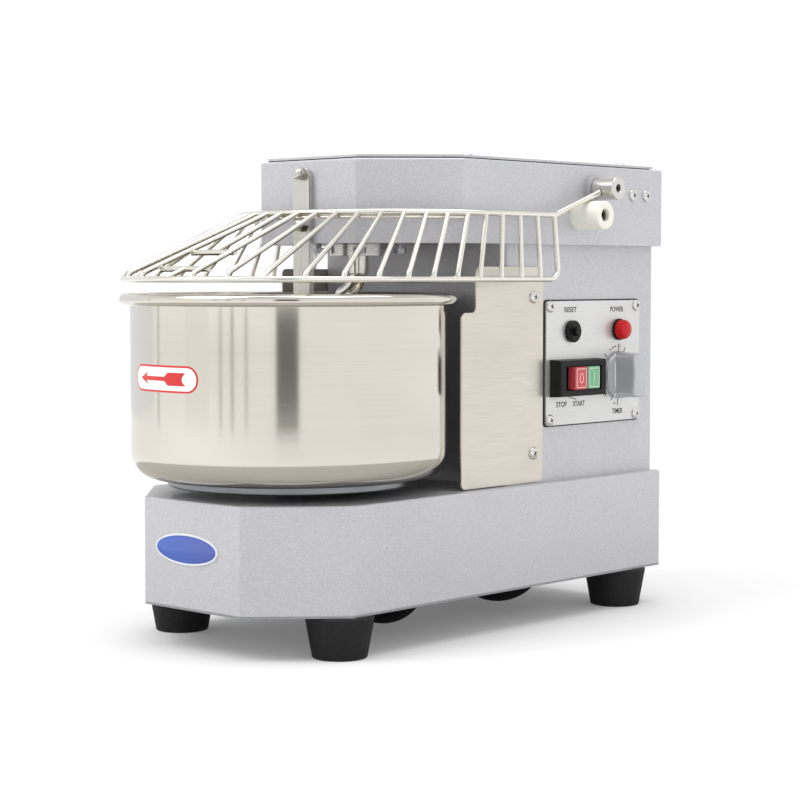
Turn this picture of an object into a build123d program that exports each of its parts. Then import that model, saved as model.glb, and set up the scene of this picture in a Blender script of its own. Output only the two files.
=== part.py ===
"""Table-top spiral dough mixer: bowl on a turntable, spiral hook, tilting wire guard, side control panel.

Units are millimetres. The origin is on the floor under the centre of the machine, +Z is up,
the bowl end points to -Y and the control panel faces +X.
"""
from build123d import *
from math import cos, pi, radians, sin, sqrt, tan
import os

os.makedirs("parts", exist_ok=True)

# ---- driving dimensions -------------------------------------------------------------------------
SHEET = 2.0
GAP = 0.4
REAR = 246.0

FOOT_TOP_R = 28.5
FOOT_FLOOR_R = 22.25
FOOT_HEIGHT = 35.0
FOOT_X = 95.5
FOOT_FRONT_Y = -156.5
FOOT_REAR_Y = 208.5

BODY_HALF = 120.0
BASE_FRONT = -230.0
BASE_CHAMFER = 63.0
BASE_TOP = 124.0

COLUMN_HALF = 109.0
COLUMN_FRONT = 34.0

HEAD_FRONT = -98.0
HEAD_CHAMFER = 64.0
HEAD_FLOOR = 332.0
HEAD_TOP = 402.0
LID_INSET = 6.0

BOWL_Y = -118.0
BOWL_R = 133.4
BOWL_RIM_R = 142.2
BOWL_RIM_Z = 285.6
BOWL_BASE_Z = 137.0
BOWL_SHEET = 1.2
BOWL_CORNER_R = 22.0
TURNTABLE_R = 103.0
TURNTABLE_GAP = 6.5
SPINDLE_R = 12.5

HOOK_Y = -35.0
HOOK_SHAFT_R = 8.5
HOOK_ROD_R = 7.0
HOOK_SWING_R = 32.0

MAIN_X = 37.0
MAIN_Y = 108.0
MAIN_R = 10.0
MOTOR_X = -23.0
MOTOR_R = 45.0
MOTOR_BASE_Z = 186.0
MOTOR_TOP_Z = 318.0

HINGE_Y = 139.4
HINGE_Z = 381.5
HUB_R = 10.0
PIN_R = 6.0
STOP_Y = 120.2
STOP_Z = 357.6
STOP_R = 13.0
STOP_LENGTH = 29.6

WIRE_R = 2.6
RISER_R = 2.5
CROSS_R = 2.35
SPOKE_R = 2.2
GRID_LOW_Z = 302.0
GRID_LOW_R = 137.0
GRID_LOW_Y = -120.0
GRID_HIGH_Z = 357.0
GRID_HIGH_R = 132.0
GRID_HIGH_Y = 5.4
GRID_POST_Y = 70.0

PANEL_X = 110.0
PANEL_SHEET = 1.5
PANEL_FACE = PANEL_X + PANEL_SHEET
PANEL_Y = 153.9
PANEL_Z = 227.75
PANEL_WIDTH = 137.0
PANEL_HEIGHT = 109.5
RESET_Y, RESET_Z = 121.4, 255.5
LAMP_Y, LAMP_Z = 190.4, 256.0
SWITCH_Y, SWITCH_Z = 124.3, 214.5
SWITCH_WIDTH, SWITCH_HEIGHT, SWITCH_DEPTH = 67.0, 33.0, 12.0
TIMER_Y, TIMER_Z = 190.8, 214.6
BUTTON_TRAVEL = 3.0

CHAIN_PITCH = 9.525
BOWL_TEETH = 60
MAIN_LOW_TEETH = 12
HEAD_TEETH = 18
PINION_TEETH = 14
GEAR_TEETH = 112
BASE_CHAIN_Z = 62.0
HEAD_CHAIN_Z = 379.0
GEAR_Z = 155.0


# ---- pan-head screws: one list of places serves the screws and the holes they pass through --------
LID_TOP = HEAD_TOP + 1.2 + SHEET
GUARD_SHEET = 1.5
REAR_SHEET = 1.5
LID_SCREWS = [(x, y) for x in (-107, 107) for y in (-15, 197)]
FLANK_SCREWS = [(199.2, 377.8), (219.8, 377.8)]
REAR_SCREWS = [(x, z) for x in (-96, 96) for z in (140, 228, 316)]
GUARD_SCREWS = [(69.2, 150.0), (69.2, 286.3)]
PANEL_SCREWS = [
    (PANEL_Y + side_y * (PANEL_WIDTH / 2 - 5.5), PANEL_Z + side_z * (PANEL_HEIGHT / 2 - 4.75))
    for side_y in (-1, 1)
    for side_z in (-1, 1)
]
SHANK_R = 2.0
HOLE_R = 2.2

BAR_X = -2.0
BAR_THICK = 5.0
BAR_TOP = 396.5
BAR_FOOT = 152.0
BAR_WIDTH = 20.0
BAR_NUTS = [(BAR_X, 347), (BAR_X, 390)]


# ---- shared helpers -----------------------------------------------------------------------------
def save(piece, name):
    """Label a finished piece and write it as its own STEP file."""
    piece.label = name
    export_step(piece, f"parts/{name}.step")


def side_plane(x):
    """A plane facing +X whose local axes are row Y and row Z."""
    return Plane(origin=(x, 0, 0), x_dir=(0, 1, 0), z_dir=(1, 0, 0))


def front_plane(y):
    """A plane facing -Y whose local axes are row X and row Z."""
    return Plane(origin=(0, y, 0), x_dir=(1, 0, 0), z_dir=(0, -1, 0))


def rear_plane(y):
    """A plane facing +Y whose local axes are row -X and row Z."""
    return Plane(origin=(0, y, 0), x_dir=(-1, 0, 0), z_dir=(0, 1, 0))


def housing_outline(front, chamfer, inset):
    """Points of a plan outline with its two front corners cut off, moved in by inset."""
    half = BODY_HALF - inset
    cut = chamfer - inset * (2 - sqrt(2))
    near = front + inset
    far = REAR - inset
    return [
        (-half, far),
        (-half, near + cut),
        (-half + cut, near),
        (half - cut, near),
        (half, near + cut),
        (half, far),
        (-half, far),
    ]


def tooth_points(teeth, root_r, tip_r, root_half, tip_half, turn=0.0):
    """Outline of a toothed wheel with straight-sided teeth; half widths are in millimetres."""
    points = []
    for index in range(teeth):
        middle = turn + 2 * pi * index / teeth
        for radius, half in ((root_r, -root_half), (tip_r, -tip_half), (tip_r, tip_half), (root_r, root_half)):
            angle = middle + half / radius
            points.append((radius * cos(angle), radius * sin(angle)))
    return points


def sprocket_points(teeth):
    """Outline of a roller-chain sprocket for the shared chain pitch."""
    pitch_r = CHAIN_PITCH / 2 / sin(pi / teeth)
    return tooth_points(teeth, pitch_r - 3.2, pitch_r + 3.4, 2.6, 0.8)


def link_band(centre_a, radius_a, centre_b, radius_b, middle_z):
    """Two rows of chain side plates round a pair of sprockets, one row on each side of the teeth."""
    plate = 1.2
    with BuildPart() as band:
        for low in (middle_z - 2.9 - plate, middle_z + 2.9):
            with BuildSketch(Plane.XY.offset(low)):
                with Locations(centre_a):
                    Circle(radius_a + 4.0)
                with Locations(centre_b):
                    Circle(radius_b + 4.0)
                make_hull()
            extrude(amount=plate)
            with BuildSketch(Plane.XY.offset(low)):
                with Locations(centre_a):
                    Circle(radius_a - 4.0)
                with Locations(centre_b):
                    Circle(radius_b - 4.0)
                make_hull()
            extrude(amount=plate, mode=Mode.SUBTRACT)
    return band.part


def bearing_ring(x, y, low, height, inner_r, outer_r):
    """One ball bearing as a plain ring, a running fit on its shaft."""
    with BuildPart(Plane.XY.offset(low)) as ring:
        with BuildSketch(Plane.XY.offset(low)):
            with Locations((x, y)):
                Circle(outer_r)
                Circle(inner_r, mode=Mode.SUBTRACT)
        extrude(amount=height)
    return ring.part


def drill(axis_plane, places, depth):
    """Clearance holes for pan-head screws, cut from the current part against the plane's normal."""
    spots = [axis_plane.location * Pos(u, v, -depth / 2) for u, v in places]
    with Locations(*spots):
        Cylinder(HOLE_R, abs(depth), mode=Mode.SUBTRACT)


def pan_screw(plane, head_r, head_height, shank_length):
    """A pan-head cross-recess screw whose head stands on the given plane and points along its normal."""
    with BuildPart() as screw:
        with BuildSketch(plane):
            Circle(head_r)
        extrude(amount=head_height)
        fillet(screw.edges().group_by(Axis(plane.origin, plane.z_dir))[-1], head_height * 0.45)
        with BuildSketch(plane.offset(head_height)):
            Rectangle(head_r * 1.1, head_r * 0.22)
            Rectangle(head_r * 0.22, head_r * 1.1)
        extrude(amount=-head_height * 0.6, mode=Mode.SUBTRACT)
        with BuildSketch(plane):
            Circle(SHANK_R)
        extrude(amount=-shank_length)
    return screw.part


# ---- base: bent sheet housing, its bottom plate and four feet -------------------------------------
BASE_SKIRT_Z = FOOT_HEIGHT + SHEET
BEARING_HOLE_R = 34.0

with BuildPart() as base_housing:
    with BuildSketch(Plane.XY.offset(BASE_SKIRT_Z)):
        with BuildLine():
            Polyline(*housing_outline(BASE_FRONT, BASE_CHAMFER, 0))
        make_face()
    extrude(amount=BASE_TOP - BASE_SKIRT_Z)
    fillet(base_housing.edges().filter_by(Axis.Z), 3)
    fillet(base_housing.faces().sort_by(Axis.Z)[-1].edges(), 1.8)
    with BuildSketch(Plane.XY.offset(BASE_SKIRT_Z)):
        with BuildLine():
            Polyline(*housing_outline(BASE_FRONT, BASE_CHAMFER, SHEET))
        make_face()
    extrude(amount=BASE_TOP - SHEET - BASE_SKIRT_Z, mode=Mode.SUBTRACT)
    with BuildSketch(Plane.XY.offset(BASE_TOP)):
        with Locations((0, BOWL_Y)):
            Circle(SPINDLE_R + 6)
        with Locations((0, 140)):
            RectangleRounded(190, 180, 10)
    extrude(amount=-2 * SHEET, mode=Mode.SUBTRACT)
    with BuildSketch(rear_plane(REAR)):
        with Locations((60, 80)):
            Circle(8)
    extrude(amount=-2 * SHEET, mode=Mode.SUBTRACT)
save(base_housing.part, "base_housing")

CAPS = {"bearing_cap": (MAIN_X, MAIN_Y, 45.0, 53.0), "tensioner_cap": (35.0, -42.0, 38.0, 44.0)}

with BuildPart() as base_bottom_plate:
    with BuildSketch(Plane.XY.offset(FOOT_HEIGHT)):
        with BuildLine():
            Polyline(*housing_outline(BASE_FRONT, BASE_CHAMFER, 0))
        make_face()
    extrude(amount=SHEET)
    fillet(base_bottom_plate.edges().filter_by(Axis.Z), 3)
    with Locations((MAIN_X, MAIN_Y, BASE_SKIRT_Z), (35, -42, BASE_SKIRT_Z)):
        Hole(30)
    for foot_y in (FOOT_FRONT_Y, FOOT_REAR_Y):
        with Locations((FOOT_X, foot_y, BASE_SKIRT_Z), (-FOOT_X, foot_y, BASE_SKIRT_Z)):
            Hole(4.2)
save(base_bottom_plate.part, "base_bottom_plate")


def cap_shell(centre_x, centre_y, radius, centre_z):
    """A domed cap: part of a thin sphere, open at the top where it meets the bottom plate."""
    depth = centre_z - FOOT_HEIGHT
    rim = sqrt(radius**2 - depth**2)
    inner = radius - 2.5
    inner_rim = sqrt(inner**2 - depth**2)
    place = Plane(origin=(centre_x, centre_y, 0), x_dir=(1, 0, 0), z_dir=(0, -1, 0))
    with BuildPart() as cap:
        with BuildSketch(place):
            with BuildLine():
                Polyline((0, centre_z - inner), (0, centre_z - radius))
                middle = rim / 2
                outer_mid = (middle, centre_z - sqrt(radius**2 - middle**2))
                ThreePointArc((0, centre_z - radius), outer_mid, (rim, FOOT_HEIGHT))
                Line((rim, FOOT_HEIGHT), (inner_rim, FOOT_HEIGHT))
                inner_mid = (middle, centre_z - sqrt(inner**2 - middle**2))
                ThreePointArc((inner_rim, FOOT_HEIGHT), inner_mid, (0, centre_z - inner))
            make_face()
        revolve(axis=Axis((centre_x, centre_y, 0), (0, 0, 1)))
    return cap.part


for cap_name, cap_size in CAPS.items():
    save(cap_shell(*cap_size), cap_name)

FOOT_PLACES = {
    "foot_front_right": (FOOT_X, FOOT_FRONT_Y),
    "foot_front_left": (-FOOT_X, FOOT_FRONT_Y),
    "foot_rear_right": (FOOT_X, FOOT_REAR_Y),
    "foot_rear_left": (-FOOT_X, FOOT_REAR_Y),
}
for foot_name, (foot_x, foot_y) in FOOT_PLACES.items():
    with BuildPart() as foot:
        with BuildSketch(Plane.XY):
            with Locations((foot_x, foot_y)):
                Circle(FOOT_FLOOR_R)
        with BuildSketch(Plane.XY.offset(FOOT_HEIGHT)):
            with Locations((foot_x, foot_y)):
                Circle(FOOT_TOP_R)
        loft()
        fillet(foot.edges().sort_by(Axis.Z)[-1], 2)
        fillet(foot.edges().sort_by(Axis.Z)[0], 1.5)
        with Locations((foot_x, foot_y, 0)):
            Cylinder(9, 12, align=(Align.CENTER, Align.CENTER, Align.MIN), mode=Mode.SUBTRACT)
            Cylinder(4.1, FOOT_HEIGHT, align=(Align.CENTER, Align.CENTER, Align.MIN), mode=Mode.SUBTRACT)
    save(foot.part, foot_name)

with BuildPart() as foot_bolts:
    for foot_x, foot_y in FOOT_PLACES.values():
        with Locations((foot_x, foot_y, 7.5)):
            Cylinder(7, 4.5, align=(Align.CENTER, Align.CENTER, Align.MIN))
        with Locations((foot_x, foot_y, 12)):
            Cylinder(4, 30, align=(Align.CENTER, Align.CENTER, Align.MIN))
        with BuildSketch(Plane.XY.offset(BASE_SKIRT_Z)):
            with Locations((foot_x, foot_y)):
                RegularPolygon(7.5, 6)
        extrude(amount=5)
save(foot_bolts.part, "foot_bolts")

# ---- column: folded sheet sleeve with the control openings in its right wall --------------------
with BuildPart() as column_housing:
    with BuildSketch(Plane.XY.offset(BASE_TOP)):
        with BuildLine():
            Polyline(
                (-COLUMN_HALF, REAR),
                (-COLUMN_HALF, COLUMN_FRONT),
                (COLUMN_HALF, COLUMN_FRONT),
                (COLUMN_HALF, REAR),
                (-COLUMN_HALF, REAR),
            )
        make_face()
    extrude(amount=HEAD_FLOOR - BASE_TOP)
    fillet(column_housing.edges().filter_by(Axis.Z), 3)
    with BuildSketch(Plane.XY.offset(BASE_TOP)):
        with Locations((0, (COLUMN_FRONT + REAR) / 2)):
            Rectangle(2 * COLUMN_HALF - 2 * SHEET, REAR - COLUMN_FRONT - 2 * SHEET)
    extrude(amount=HEAD_FLOOR - BASE_TOP, mode=Mode.SUBTRACT)
    with BuildSketch(rear_plane(REAR)):
        with Locations((0, (BASE_TOP + HEAD_FLOOR) / 2)):
            Rectangle(184, 184)
    extrude(amount=-2 * SHEET, mode=Mode.SUBTRACT)
    drill(rear_plane(REAR), REAR_SCREWS, 2 * SHEET)
    drill(side_plane(COLUMN_HALF), GUARD_SCREWS, 2 * COLUMN_HALF)
    drill(side_plane(COLUMN_HALF), PANEL_SCREWS, 2 * SHEET)
    with BuildSketch(side_plane(COLUMN_HALF)):
        with Locations((RESET_Y, RESET_Z)):
            Circle(7.7)
        with Locations((LAMP_Y, LAMP_Z)):
            Circle(7.7)
        with Locations((SWITCH_Y, SWITCH_Z)):
            Rectangle(54, 27)
        with Locations((TIMER_Y, TIMER_Z)):
            Circle(6)
    extrude(amount=-2 * SHEET, mode=Mode.SUBTRACT)
save(column_housing.part, "column_housing")

with BuildPart() as rear_cover:
    with BuildSketch(rear_plane(REAR)):
        with Locations((0, 228)):
            RectangleRounded(206, 200, 4)
    extrude(amount=REAR_SHEET)
    drill(rear_plane(REAR + REAR_SHEET), REAR_SCREWS, REAR_SHEET)
    with BuildSketch(rear_plane(REAR)):
        for slot_z in range(150, 200, 9):
            with Locations((-40, slot_z), (40, slot_z)):
                SlotOverall(60, 4)
        for slot_z in range(262, 310, 9):
            with Locations((-40, slot_z), (40, slot_z)):
                SlotOverall(60, 4)
    extrude(amount=REAR_SHEET, mode=Mode.SUBTRACT)
save(rear_cover.part, "rear_cover")

# ---- head: folded sheet housing, open on top, with a bolted lid ---------------------------------
BOSS_R = 25.0
with BuildPart() as head_housing:
    with BuildSketch(Plane.XY.offset(HEAD_FLOOR)):
        with BuildLine():
            Polyline(*housing_outline(HEAD_FRONT, HEAD_CHAMFER, 0))
        make_face()
    extrude(amount=HEAD_TOP - HEAD_FLOOR)
    fillet(head_housing.edges().filter_by(Axis.Z), 3)
    fillet(head_housing.faces().sort_by(Axis.Z)[-1].edges(), 1.8)
    with BuildSketch(Plane.XY.offset(HEAD_FLOOR + SHEET)):
        with BuildLine():
            Polyline(*housing_outline(HEAD_FRONT, HEAD_CHAMFER, SHEET))
        make_face()
    extrude(amount=HEAD_TOP - HEAD_FLOOR - 2 * SHEET, mode=Mode.SUBTRACT)
    with BuildSketch(Plane.XY.offset(HEAD_TOP)):
        with BuildLine():
            Polyline(*housing_outline(HEAD_FRONT, HEAD_CHAMFER, 24))
        make_face()
    extrude(amount=-2 * SHEET, mode=Mode.SUBTRACT)
    with BuildSketch(Plane.XY.offset(HEAD_FLOOR)):
        with Locations((0, HOOK_Y)):
            Circle(BOSS_R + 0.3)
        with Locations((0, 140)):
            RectangleRounded(190, 180, 10)
    extrude(amount=SHEET, mode=Mode.SUBTRACT)
    with BuildSketch(side_plane(BODY_HALF)):
        with Locations((HINGE_Y, HINGE_Z)):
            Circle(9)
    extrude(amount=-2 * BODY_HALF, mode=Mode.SUBTRACT)
    drill(side_plane(BODY_HALF), FLANK_SCREWS, 2 * BODY_HALF)
    drill(Plane.XY.offset(HEAD_TOP), LID_SCREWS, 2 * SHEET)
    drill(front_plane(HEAD_FRONT), BAR_NUTS, 2 * SHEET)
save(head_housing.part, "head_housing")

with BuildPart() as lid_seal:
    with BuildSketch(Plane.XY.offset(HEAD_TOP)):
        with BuildLine():
            Polyline(*housing_outline(HEAD_FRONT, HEAD_CHAMFER, LID_INSET + 3))
        make_face()
        with BuildLine():
            Polyline(*housing_outline(HEAD_FRONT, HEAD_CHAMFER, LID_INSET + 11))
        make_face(mode=Mode.SUBTRACT)
    extrude(amount=1.2)
    drill(Plane.XY.offset(HEAD_TOP + 1.2), LID_SCREWS, 1.2)
save(lid_seal.part, "lid_seal")

with BuildPart() as head_lid:
    with BuildSketch(Plane.XY.offset(LID_TOP - SHEET)):
        with BuildLine():
            Polyline(*housing_outline(HEAD_FRONT, HEAD_CHAMFER, LID_INSET))
        make_face()
    extrude(amount=SHEET)
    fillet(head_lid.edges().filter_by(Axis.Z), 3)
    drill(Plane.XY.offset(LID_TOP), LID_SCREWS, SHEET)
save(head_lid.part, "head_lid")


# ---- guard plates that close the gap beside the bowl ---------------------------------------------
with BuildPart() as right_guard_plate:
    with BuildSketch(side_plane(COLUMN_HALF)):
        with BuildLine():
            Polyline((82, 125), (82, 312.5), (-7.6, 312.5), (-7.6, 273.7), (-26, 273.7), (-26, 125), (82, 125))
        make_face()
    extrude(amount=GUARD_SHEET)
    fillet(right_guard_plate.edges().filter_by(Axis.X), 5)
    drill(side_plane(COLUMN_HALF + GUARD_SHEET), GUARD_SCREWS, GUARD_SHEET)
save(right_guard_plate.part, "right_guard_plate")

with BuildPart() as left_guard_plate:
    with BuildSketch(side_plane(-COLUMN_HALF)):
        with BuildLine():
            Polyline((82, 125), (82, 311), (-22, 311), (-22, 125), (82, 125))
        make_face()
    extrude(amount=-GUARD_SHEET)
    fillet(left_guard_plate.edges().filter_by(Axis.X), 5)
    drill(side_plane(-COLUMN_HALF), GUARD_SCREWS, GUARD_SHEET)
save(left_guard_plate.part, "left_guard_plate")


# ---- breaker bar that hangs into the bowl --------------------------------------------------------
with BuildPart() as breaker_bar:
    with BuildSketch(front_plane(HEAD_FRONT)):
        with Locations((BAR_X, (BAR_TOP + BAR_FOOT) / 2)):
            SlotOverall(BAR_TOP - BAR_FOOT, BAR_WIDTH, rotation=90)
    extrude(amount=BAR_THICK)
    chamfer(breaker_bar.faces().sort_by(Axis.Y)[0].edges(), 0.5)
    drill(front_plane(HEAD_FRONT - BAR_THICK), BAR_NUTS, BAR_THICK)
save(breaker_bar.part, "breaker_bar")

with BuildPart() as bar_cap_nuts:
    for nut_x, nut_z in BAR_NUTS:
        seat = Plane(origin=(nut_x, HEAD_FRONT - BAR_THICK, nut_z), x_dir=(1, 0, 0), z_dir=(0, -1, 0))
        with BuildSketch(seat):
            RegularPolygon(6, 6)
        extrude(amount=4)
        with BuildSketch(seat.offset(4)):
            Circle(4.6)
        extrude(amount=3.2)
        fillet(bar_cap_nuts.faces().sort_by(Axis.Y)[0].edges(), 2.4)
        with BuildSketch(seat):
            Circle(SHANK_R)
        extrude(amount=-(BAR_THICK + 8))
save(bar_cap_nuts.part, "bar_cap_nuts")

# ---- bowl, turntable and their bearing -----------------------------------------------------------
with BuildPart() as bowl:
    wall_r = BOWL_R - BOWL_SHEET / 2
    floor_z = BOWL_BASE_Z + BOWL_SHEET / 2
    roll = (BOWL_RIM_R - BOWL_SHEET / 2 - wall_r) / 2
    roll_r = wall_r + roll
    turn = BOWL_CORNER_R - BOWL_SHEET / 2
    with BuildSketch(Plane.XZ):
        with BuildLine() as section:
            Line((6, floor_z), (wall_r - turn, floor_z))
            RadiusArc((wall_r - turn, floor_z), (wall_r, floor_z + turn), -turn)
            Line((wall_r, floor_z + turn), (wall_r, BOWL_RIM_Z))
            ThreePointArc((wall_r, BOWL_RIM_Z), (roll_r, BOWL_RIM_Z + roll), (roll_r + roll, BOWL_RIM_Z))
            ThreePointArc(
                (roll_r + roll, BOWL_RIM_Z),
                (roll_r + roll * cos(pi / 4), BOWL_RIM_Z - roll * sin(pi / 4)),
                (roll_r, BOWL_RIM_Z - roll),
            )
        trace(line_width=BOWL_SHEET)
    revolve(axis=Axis.Z)
save(Pos(0, BOWL_Y, 0) * bowl.part, "bowl")

with BuildPart() as turntable:
    turntable_low = BASE_TOP + TURNTABLE_GAP
    with Locations((0, BOWL_Y, turntable_low)):
        Cylinder(TURNTABLE_R, BOWL_BASE_Z - turntable_low, align=(Align.CENTER, Align.CENTER, Align.MIN))
    fillet(turntable.edges().sort_by(Axis.Z)[0], 1.5)
    with Locations((0, BOWL_Y, 50)):
        Cylinder(SPINDLE_R, turntable_low - 50, align=(Align.CENTER, Align.CENTER, Align.MIN))
    with Locations((0, BOWL_Y, BOWL_BASE_Z)):
        Cylinder(5.9, 9, align=(Align.CENTER, Align.CENTER, Align.MIN))
save(turntable.part, "turntable")

with BuildPart() as bowl_bearing_housing:
    with Locations((0, BOWL_Y, BASE_TOP - SHEET)):
        Cylinder(BEARING_HOLE_R + 14, 6, align=(Align.CENTER, Align.CENTER, Align.MAX))
        Cylinder(BEARING_HOLE_R, 44, align=(Align.CENTER, Align.CENTER, Align.MAX))
        Cylinder(25, 44, align=(Align.CENTER, Align.CENTER, Align.MAX), mode=Mode.SUBTRACT)
save(bowl_bearing_housing.part, "bowl_bearing_housing")

with BuildPart() as bowl_sprocket:
    with BuildSketch(Plane(origin=(0, BOWL_Y, BASE_CHAIN_Z - 2.4))):
        with BuildLine():
            Polyline(*sprocket_points(BOWL_TEETH), close=True)
        make_face()
    extrude(amount=4.8)
    with Locations((0, BOWL_Y, BASE_CHAIN_Z + 2.4)):
        Cylinder(22, 10, align=(Align.CENTER, Align.CENTER, Align.MIN))
    with Locations((0, BOWL_Y, BASE_CHAIN_Z)):
        Cylinder(SPINDLE_R, 60, mode=Mode.SUBTRACT)
        with PolarLocations(58, 6):
            Cylinder(19, 30, mode=Mode.SUBTRACT)
save(bowl_sprocket.part, "bowl_sprocket")

# Turning-direction label: a thin stadium wrapped on the bowl wall, just left of the front.
LABEL_WIDTH = 82.6
LABEL_HEIGHT = 21.6
LABEL_Z = 223.0
LABEL_TURN = -94.6
with BuildPart() as rotation_label:
    with Locations((0, BOWL_Y, LABEL_Z)):
        Cylinder(BOWL_R + 0.35, 2 * LABEL_HEIGHT)
        Cylinder(BOWL_R, 2 * LABEL_HEIGHT, mode=Mode.SUBTRACT)
    direction = Vector(cos(radians(LABEL_TURN)), sin(radians(LABEL_TURN)), 0)
    centre = Vector(0, BOWL_Y, LABEL_Z)
    across = Vector(-sin(radians(LABEL_TURN)), cos(radians(LABEL_TURN)), 0)
    chord = 2 * BOWL_R * sin(LABEL_WIDTH / 2 / BOWL_R)
    with BuildSketch(Plane(origin=centre, x_dir=across, z_dir=direction)):
        SlotOverall(chord, LABEL_HEIGHT)
    extrude(amount=BOWL_R + 20, mode=Mode.INTERSECT)
save(rotation_label.part, "rotation_label")

# ---- spiral hook and its bearing housing ---------------------------------------------------------
# The rod leaves the shaft near the rim height, swings out to its working radius,
# winds down one turn and a quarter and comes back under the shaft at the bowl floor.
HOOK_TOP_Z = 292.0
HOOK_FOOT_Z = 158.0
HOOK_TURNS = 1.25
HOOK_START = 200.0
HOOK_STEPS = 14
hook_points = [(0, HOOK_Y, HOOK_TOP_Z + 22), (0, HOOK_Y, HOOK_TOP_Z + 6)]
for step in range(HOOK_STEPS + 1):
    part_way = step / HOOK_STEPS
    reach = HOOK_SWING_R * min(1.0, 0.55 + 2.4 * part_way, (1.06 - part_way) * 3.0)
    turn_angle = radians(HOOK_START - 360 * HOOK_TURNS * part_way)
    height = HOOK_TOP_Z + (HOOK_FOOT_Z - HOOK_TOP_Z) * part_way
    hook_points.append((reach * cos(turn_angle), HOOK_Y + reach * sin(turn_angle), height))

hook_radii = []
for before, corner, after in zip(hook_points, hook_points[1:], hook_points[2:]):
    run_in = Vector(*corner) - Vector(*before)
    run_out = Vector(*after) - Vector(*corner)
    half_turn = radians(run_in.get_angle(run_out) / 2)
    hook_radii.append(0.45 * min(run_in.length, run_out.length) / tan(half_turn))

with BuildPart() as spiral_hook:
    with BuildLine() as rod_path:
        FilletPolyline(*hook_points, radius=hook_radii)
    with BuildSketch(Plane(origin=hook_points[0], z_dir=(0, 0, -1))):
        Circle(HOOK_ROD_R)
    sweep(path=rod_path.wires()[0])
    with Locations((0, HOOK_Y, HOOK_TOP_Z + 14)):
        Cylinder(HOOK_SHAFT_R, 386 - HOOK_TOP_Z - 14, align=(Align.CENTER, Align.CENTER, Align.MIN))
save(spiral_hook.part, "spiral_hook")

with BuildPart() as spiral_bearing_housing:
    with BuildSketch(Plane.XY.offset(HEAD_FLOOR + SHEET)):
        with Locations((0, HOOK_Y)):
            RectangleRounded(74, 74, 8)
    extrude(amount=8)
    with Locations((0, HOOK_Y, HEAD_FLOOR - 10)):
        Cylinder(BOSS_R, 46, align=(Align.CENTER, Align.CENTER, Align.MIN))
        Cylinder(HOOK_SHAFT_R + 0.6, 46, align=(Align.CENTER, Align.CENTER, Align.MIN), mode=Mode.SUBTRACT)
    with Locations((0, HOOK_Y, HEAD_FLOOR - 7)):
        Cylinder(20, 43, align=(Align.CENTER, Align.CENTER, Align.MIN), mode=Mode.SUBTRACT)
save(spiral_bearing_housing.part, "spiral_bearing_housing")

with BuildPart() as boss_bolts:
    with BuildSketch(Plane.XY.offset(HEAD_FLOOR - 8)):
        with Locations((0, HOOK_Y)):
            with GridLocations(50, 50, 2, 2):
                RegularPolygon(5.8, 6)
    extrude(amount=5)
    with BuildSketch(Plane.XY.offset(HEAD_FLOOR - 3)):
        with Locations((0, HOOK_Y)):
            with GridLocations(50, 50, 2, 2):
                Circle(3)
    extrude(amount=3)
save(boss_bolts.part, "boss_bolts")

with BuildPart() as spiral_sprocket:
    with BuildSketch(Plane(origin=(0, HOOK_Y, HEAD_CHAIN_Z - 2.4))):
        with BuildLine():
            Polyline(*sprocket_points(HEAD_TEETH), close=True)
        make_face()
    extrude(amount=4.8)
    with Locations((0, HOOK_Y, HEAD_CHAIN_Z)):
        Cylinder(HOOK_SHAFT_R, 20, mode=Mode.SUBTRACT)
save(spiral_sprocket.part, "spiral_sprocket")

# ---- drive: motor, gear stage, main shaft and the two chains -------------------------------------
with BuildPart() as main_shaft:
    with Locations((MAIN_X, MAIN_Y, 50)):
        Cylinder(MAIN_R, 336, align=(Align.CENTER, Align.CENTER, Align.MIN))
save(main_shaft.part, "main_shaft")

main_wheels = []
for teeth, middle_z in ((MAIN_LOW_TEETH, BASE_CHAIN_Z), (HEAD_TEETH, HEAD_CHAIN_Z)):
    with BuildPart() as wheel:
        with BuildSketch(Plane(origin=(MAIN_X, MAIN_Y, middle_z - 2.4))):
            with BuildLine():
                Polyline(*sprocket_points(teeth), close=True)
            make_face()
        extrude(amount=4.8)
        with Locations((MAIN_X, MAIN_Y, middle_z)):
            Cylinder(MAIN_R, 20, mode=Mode.SUBTRACT)
    main_wheels.append(wheel.part)
save(Compound(children=main_wheels), "main_shaft_sprockets")

GEAR_CENTRES = MAIN_X - MOTOR_X
MODULE = 2 * GEAR_CENTRES / (PINION_TEETH + GEAR_TEETH)


def gear_points(teeth, turn):
    """Outline of a spur gear with slim straight-sided teeth that leave backlash in the mesh."""
    pitch_r = MODULE * teeth / 2
    return tooth_points(teeth, pitch_r - 1.15 * MODULE, pitch_r + 0.8 * MODULE, 1.0 * MODULE, 0.3 * MODULE, turn)


with BuildPart() as main_gear:
    with BuildSketch(Plane(origin=(MAIN_X, MAIN_Y, GEAR_Z - 5))):
        with BuildLine():
            Polyline(*gear_points(GEAR_TEETH, pi), close=True)
        make_face()
    extrude(amount=10)
    with Locations((MAIN_X, MAIN_Y, GEAR_Z)):
        Cylinder(MAIN_R, 20, mode=Mode.SUBTRACT)
        with PolarLocations(32, 6):
            Cylinder(9, 20, mode=Mode.SUBTRACT)
save(main_gear.part, "main_gear")

with BuildPart() as motor_rotor:
    with BuildSketch(Plane(origin=(MOTOR_X, MAIN_Y, GEAR_Z - 6))):
        with BuildLine():
            Polyline(*gear_points(PINION_TEETH, pi / PINION_TEETH), close=True)
        make_face()
    extrude(amount=12)
    with Locations((MOTOR_X, MAIN_Y, GEAR_Z + 6)):
        Cylinder(5.4, 150, align=(Align.CENTER, Align.CENTER, Align.MIN))
    with Locations((MOTOR_X, MAIN_Y, MOTOR_BASE_Z + 22)):
        Cylinder(26, 70, align=(Align.CENTER, Align.CENTER, Align.MIN))
save(motor_rotor.part, "motor_rotor")

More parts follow.
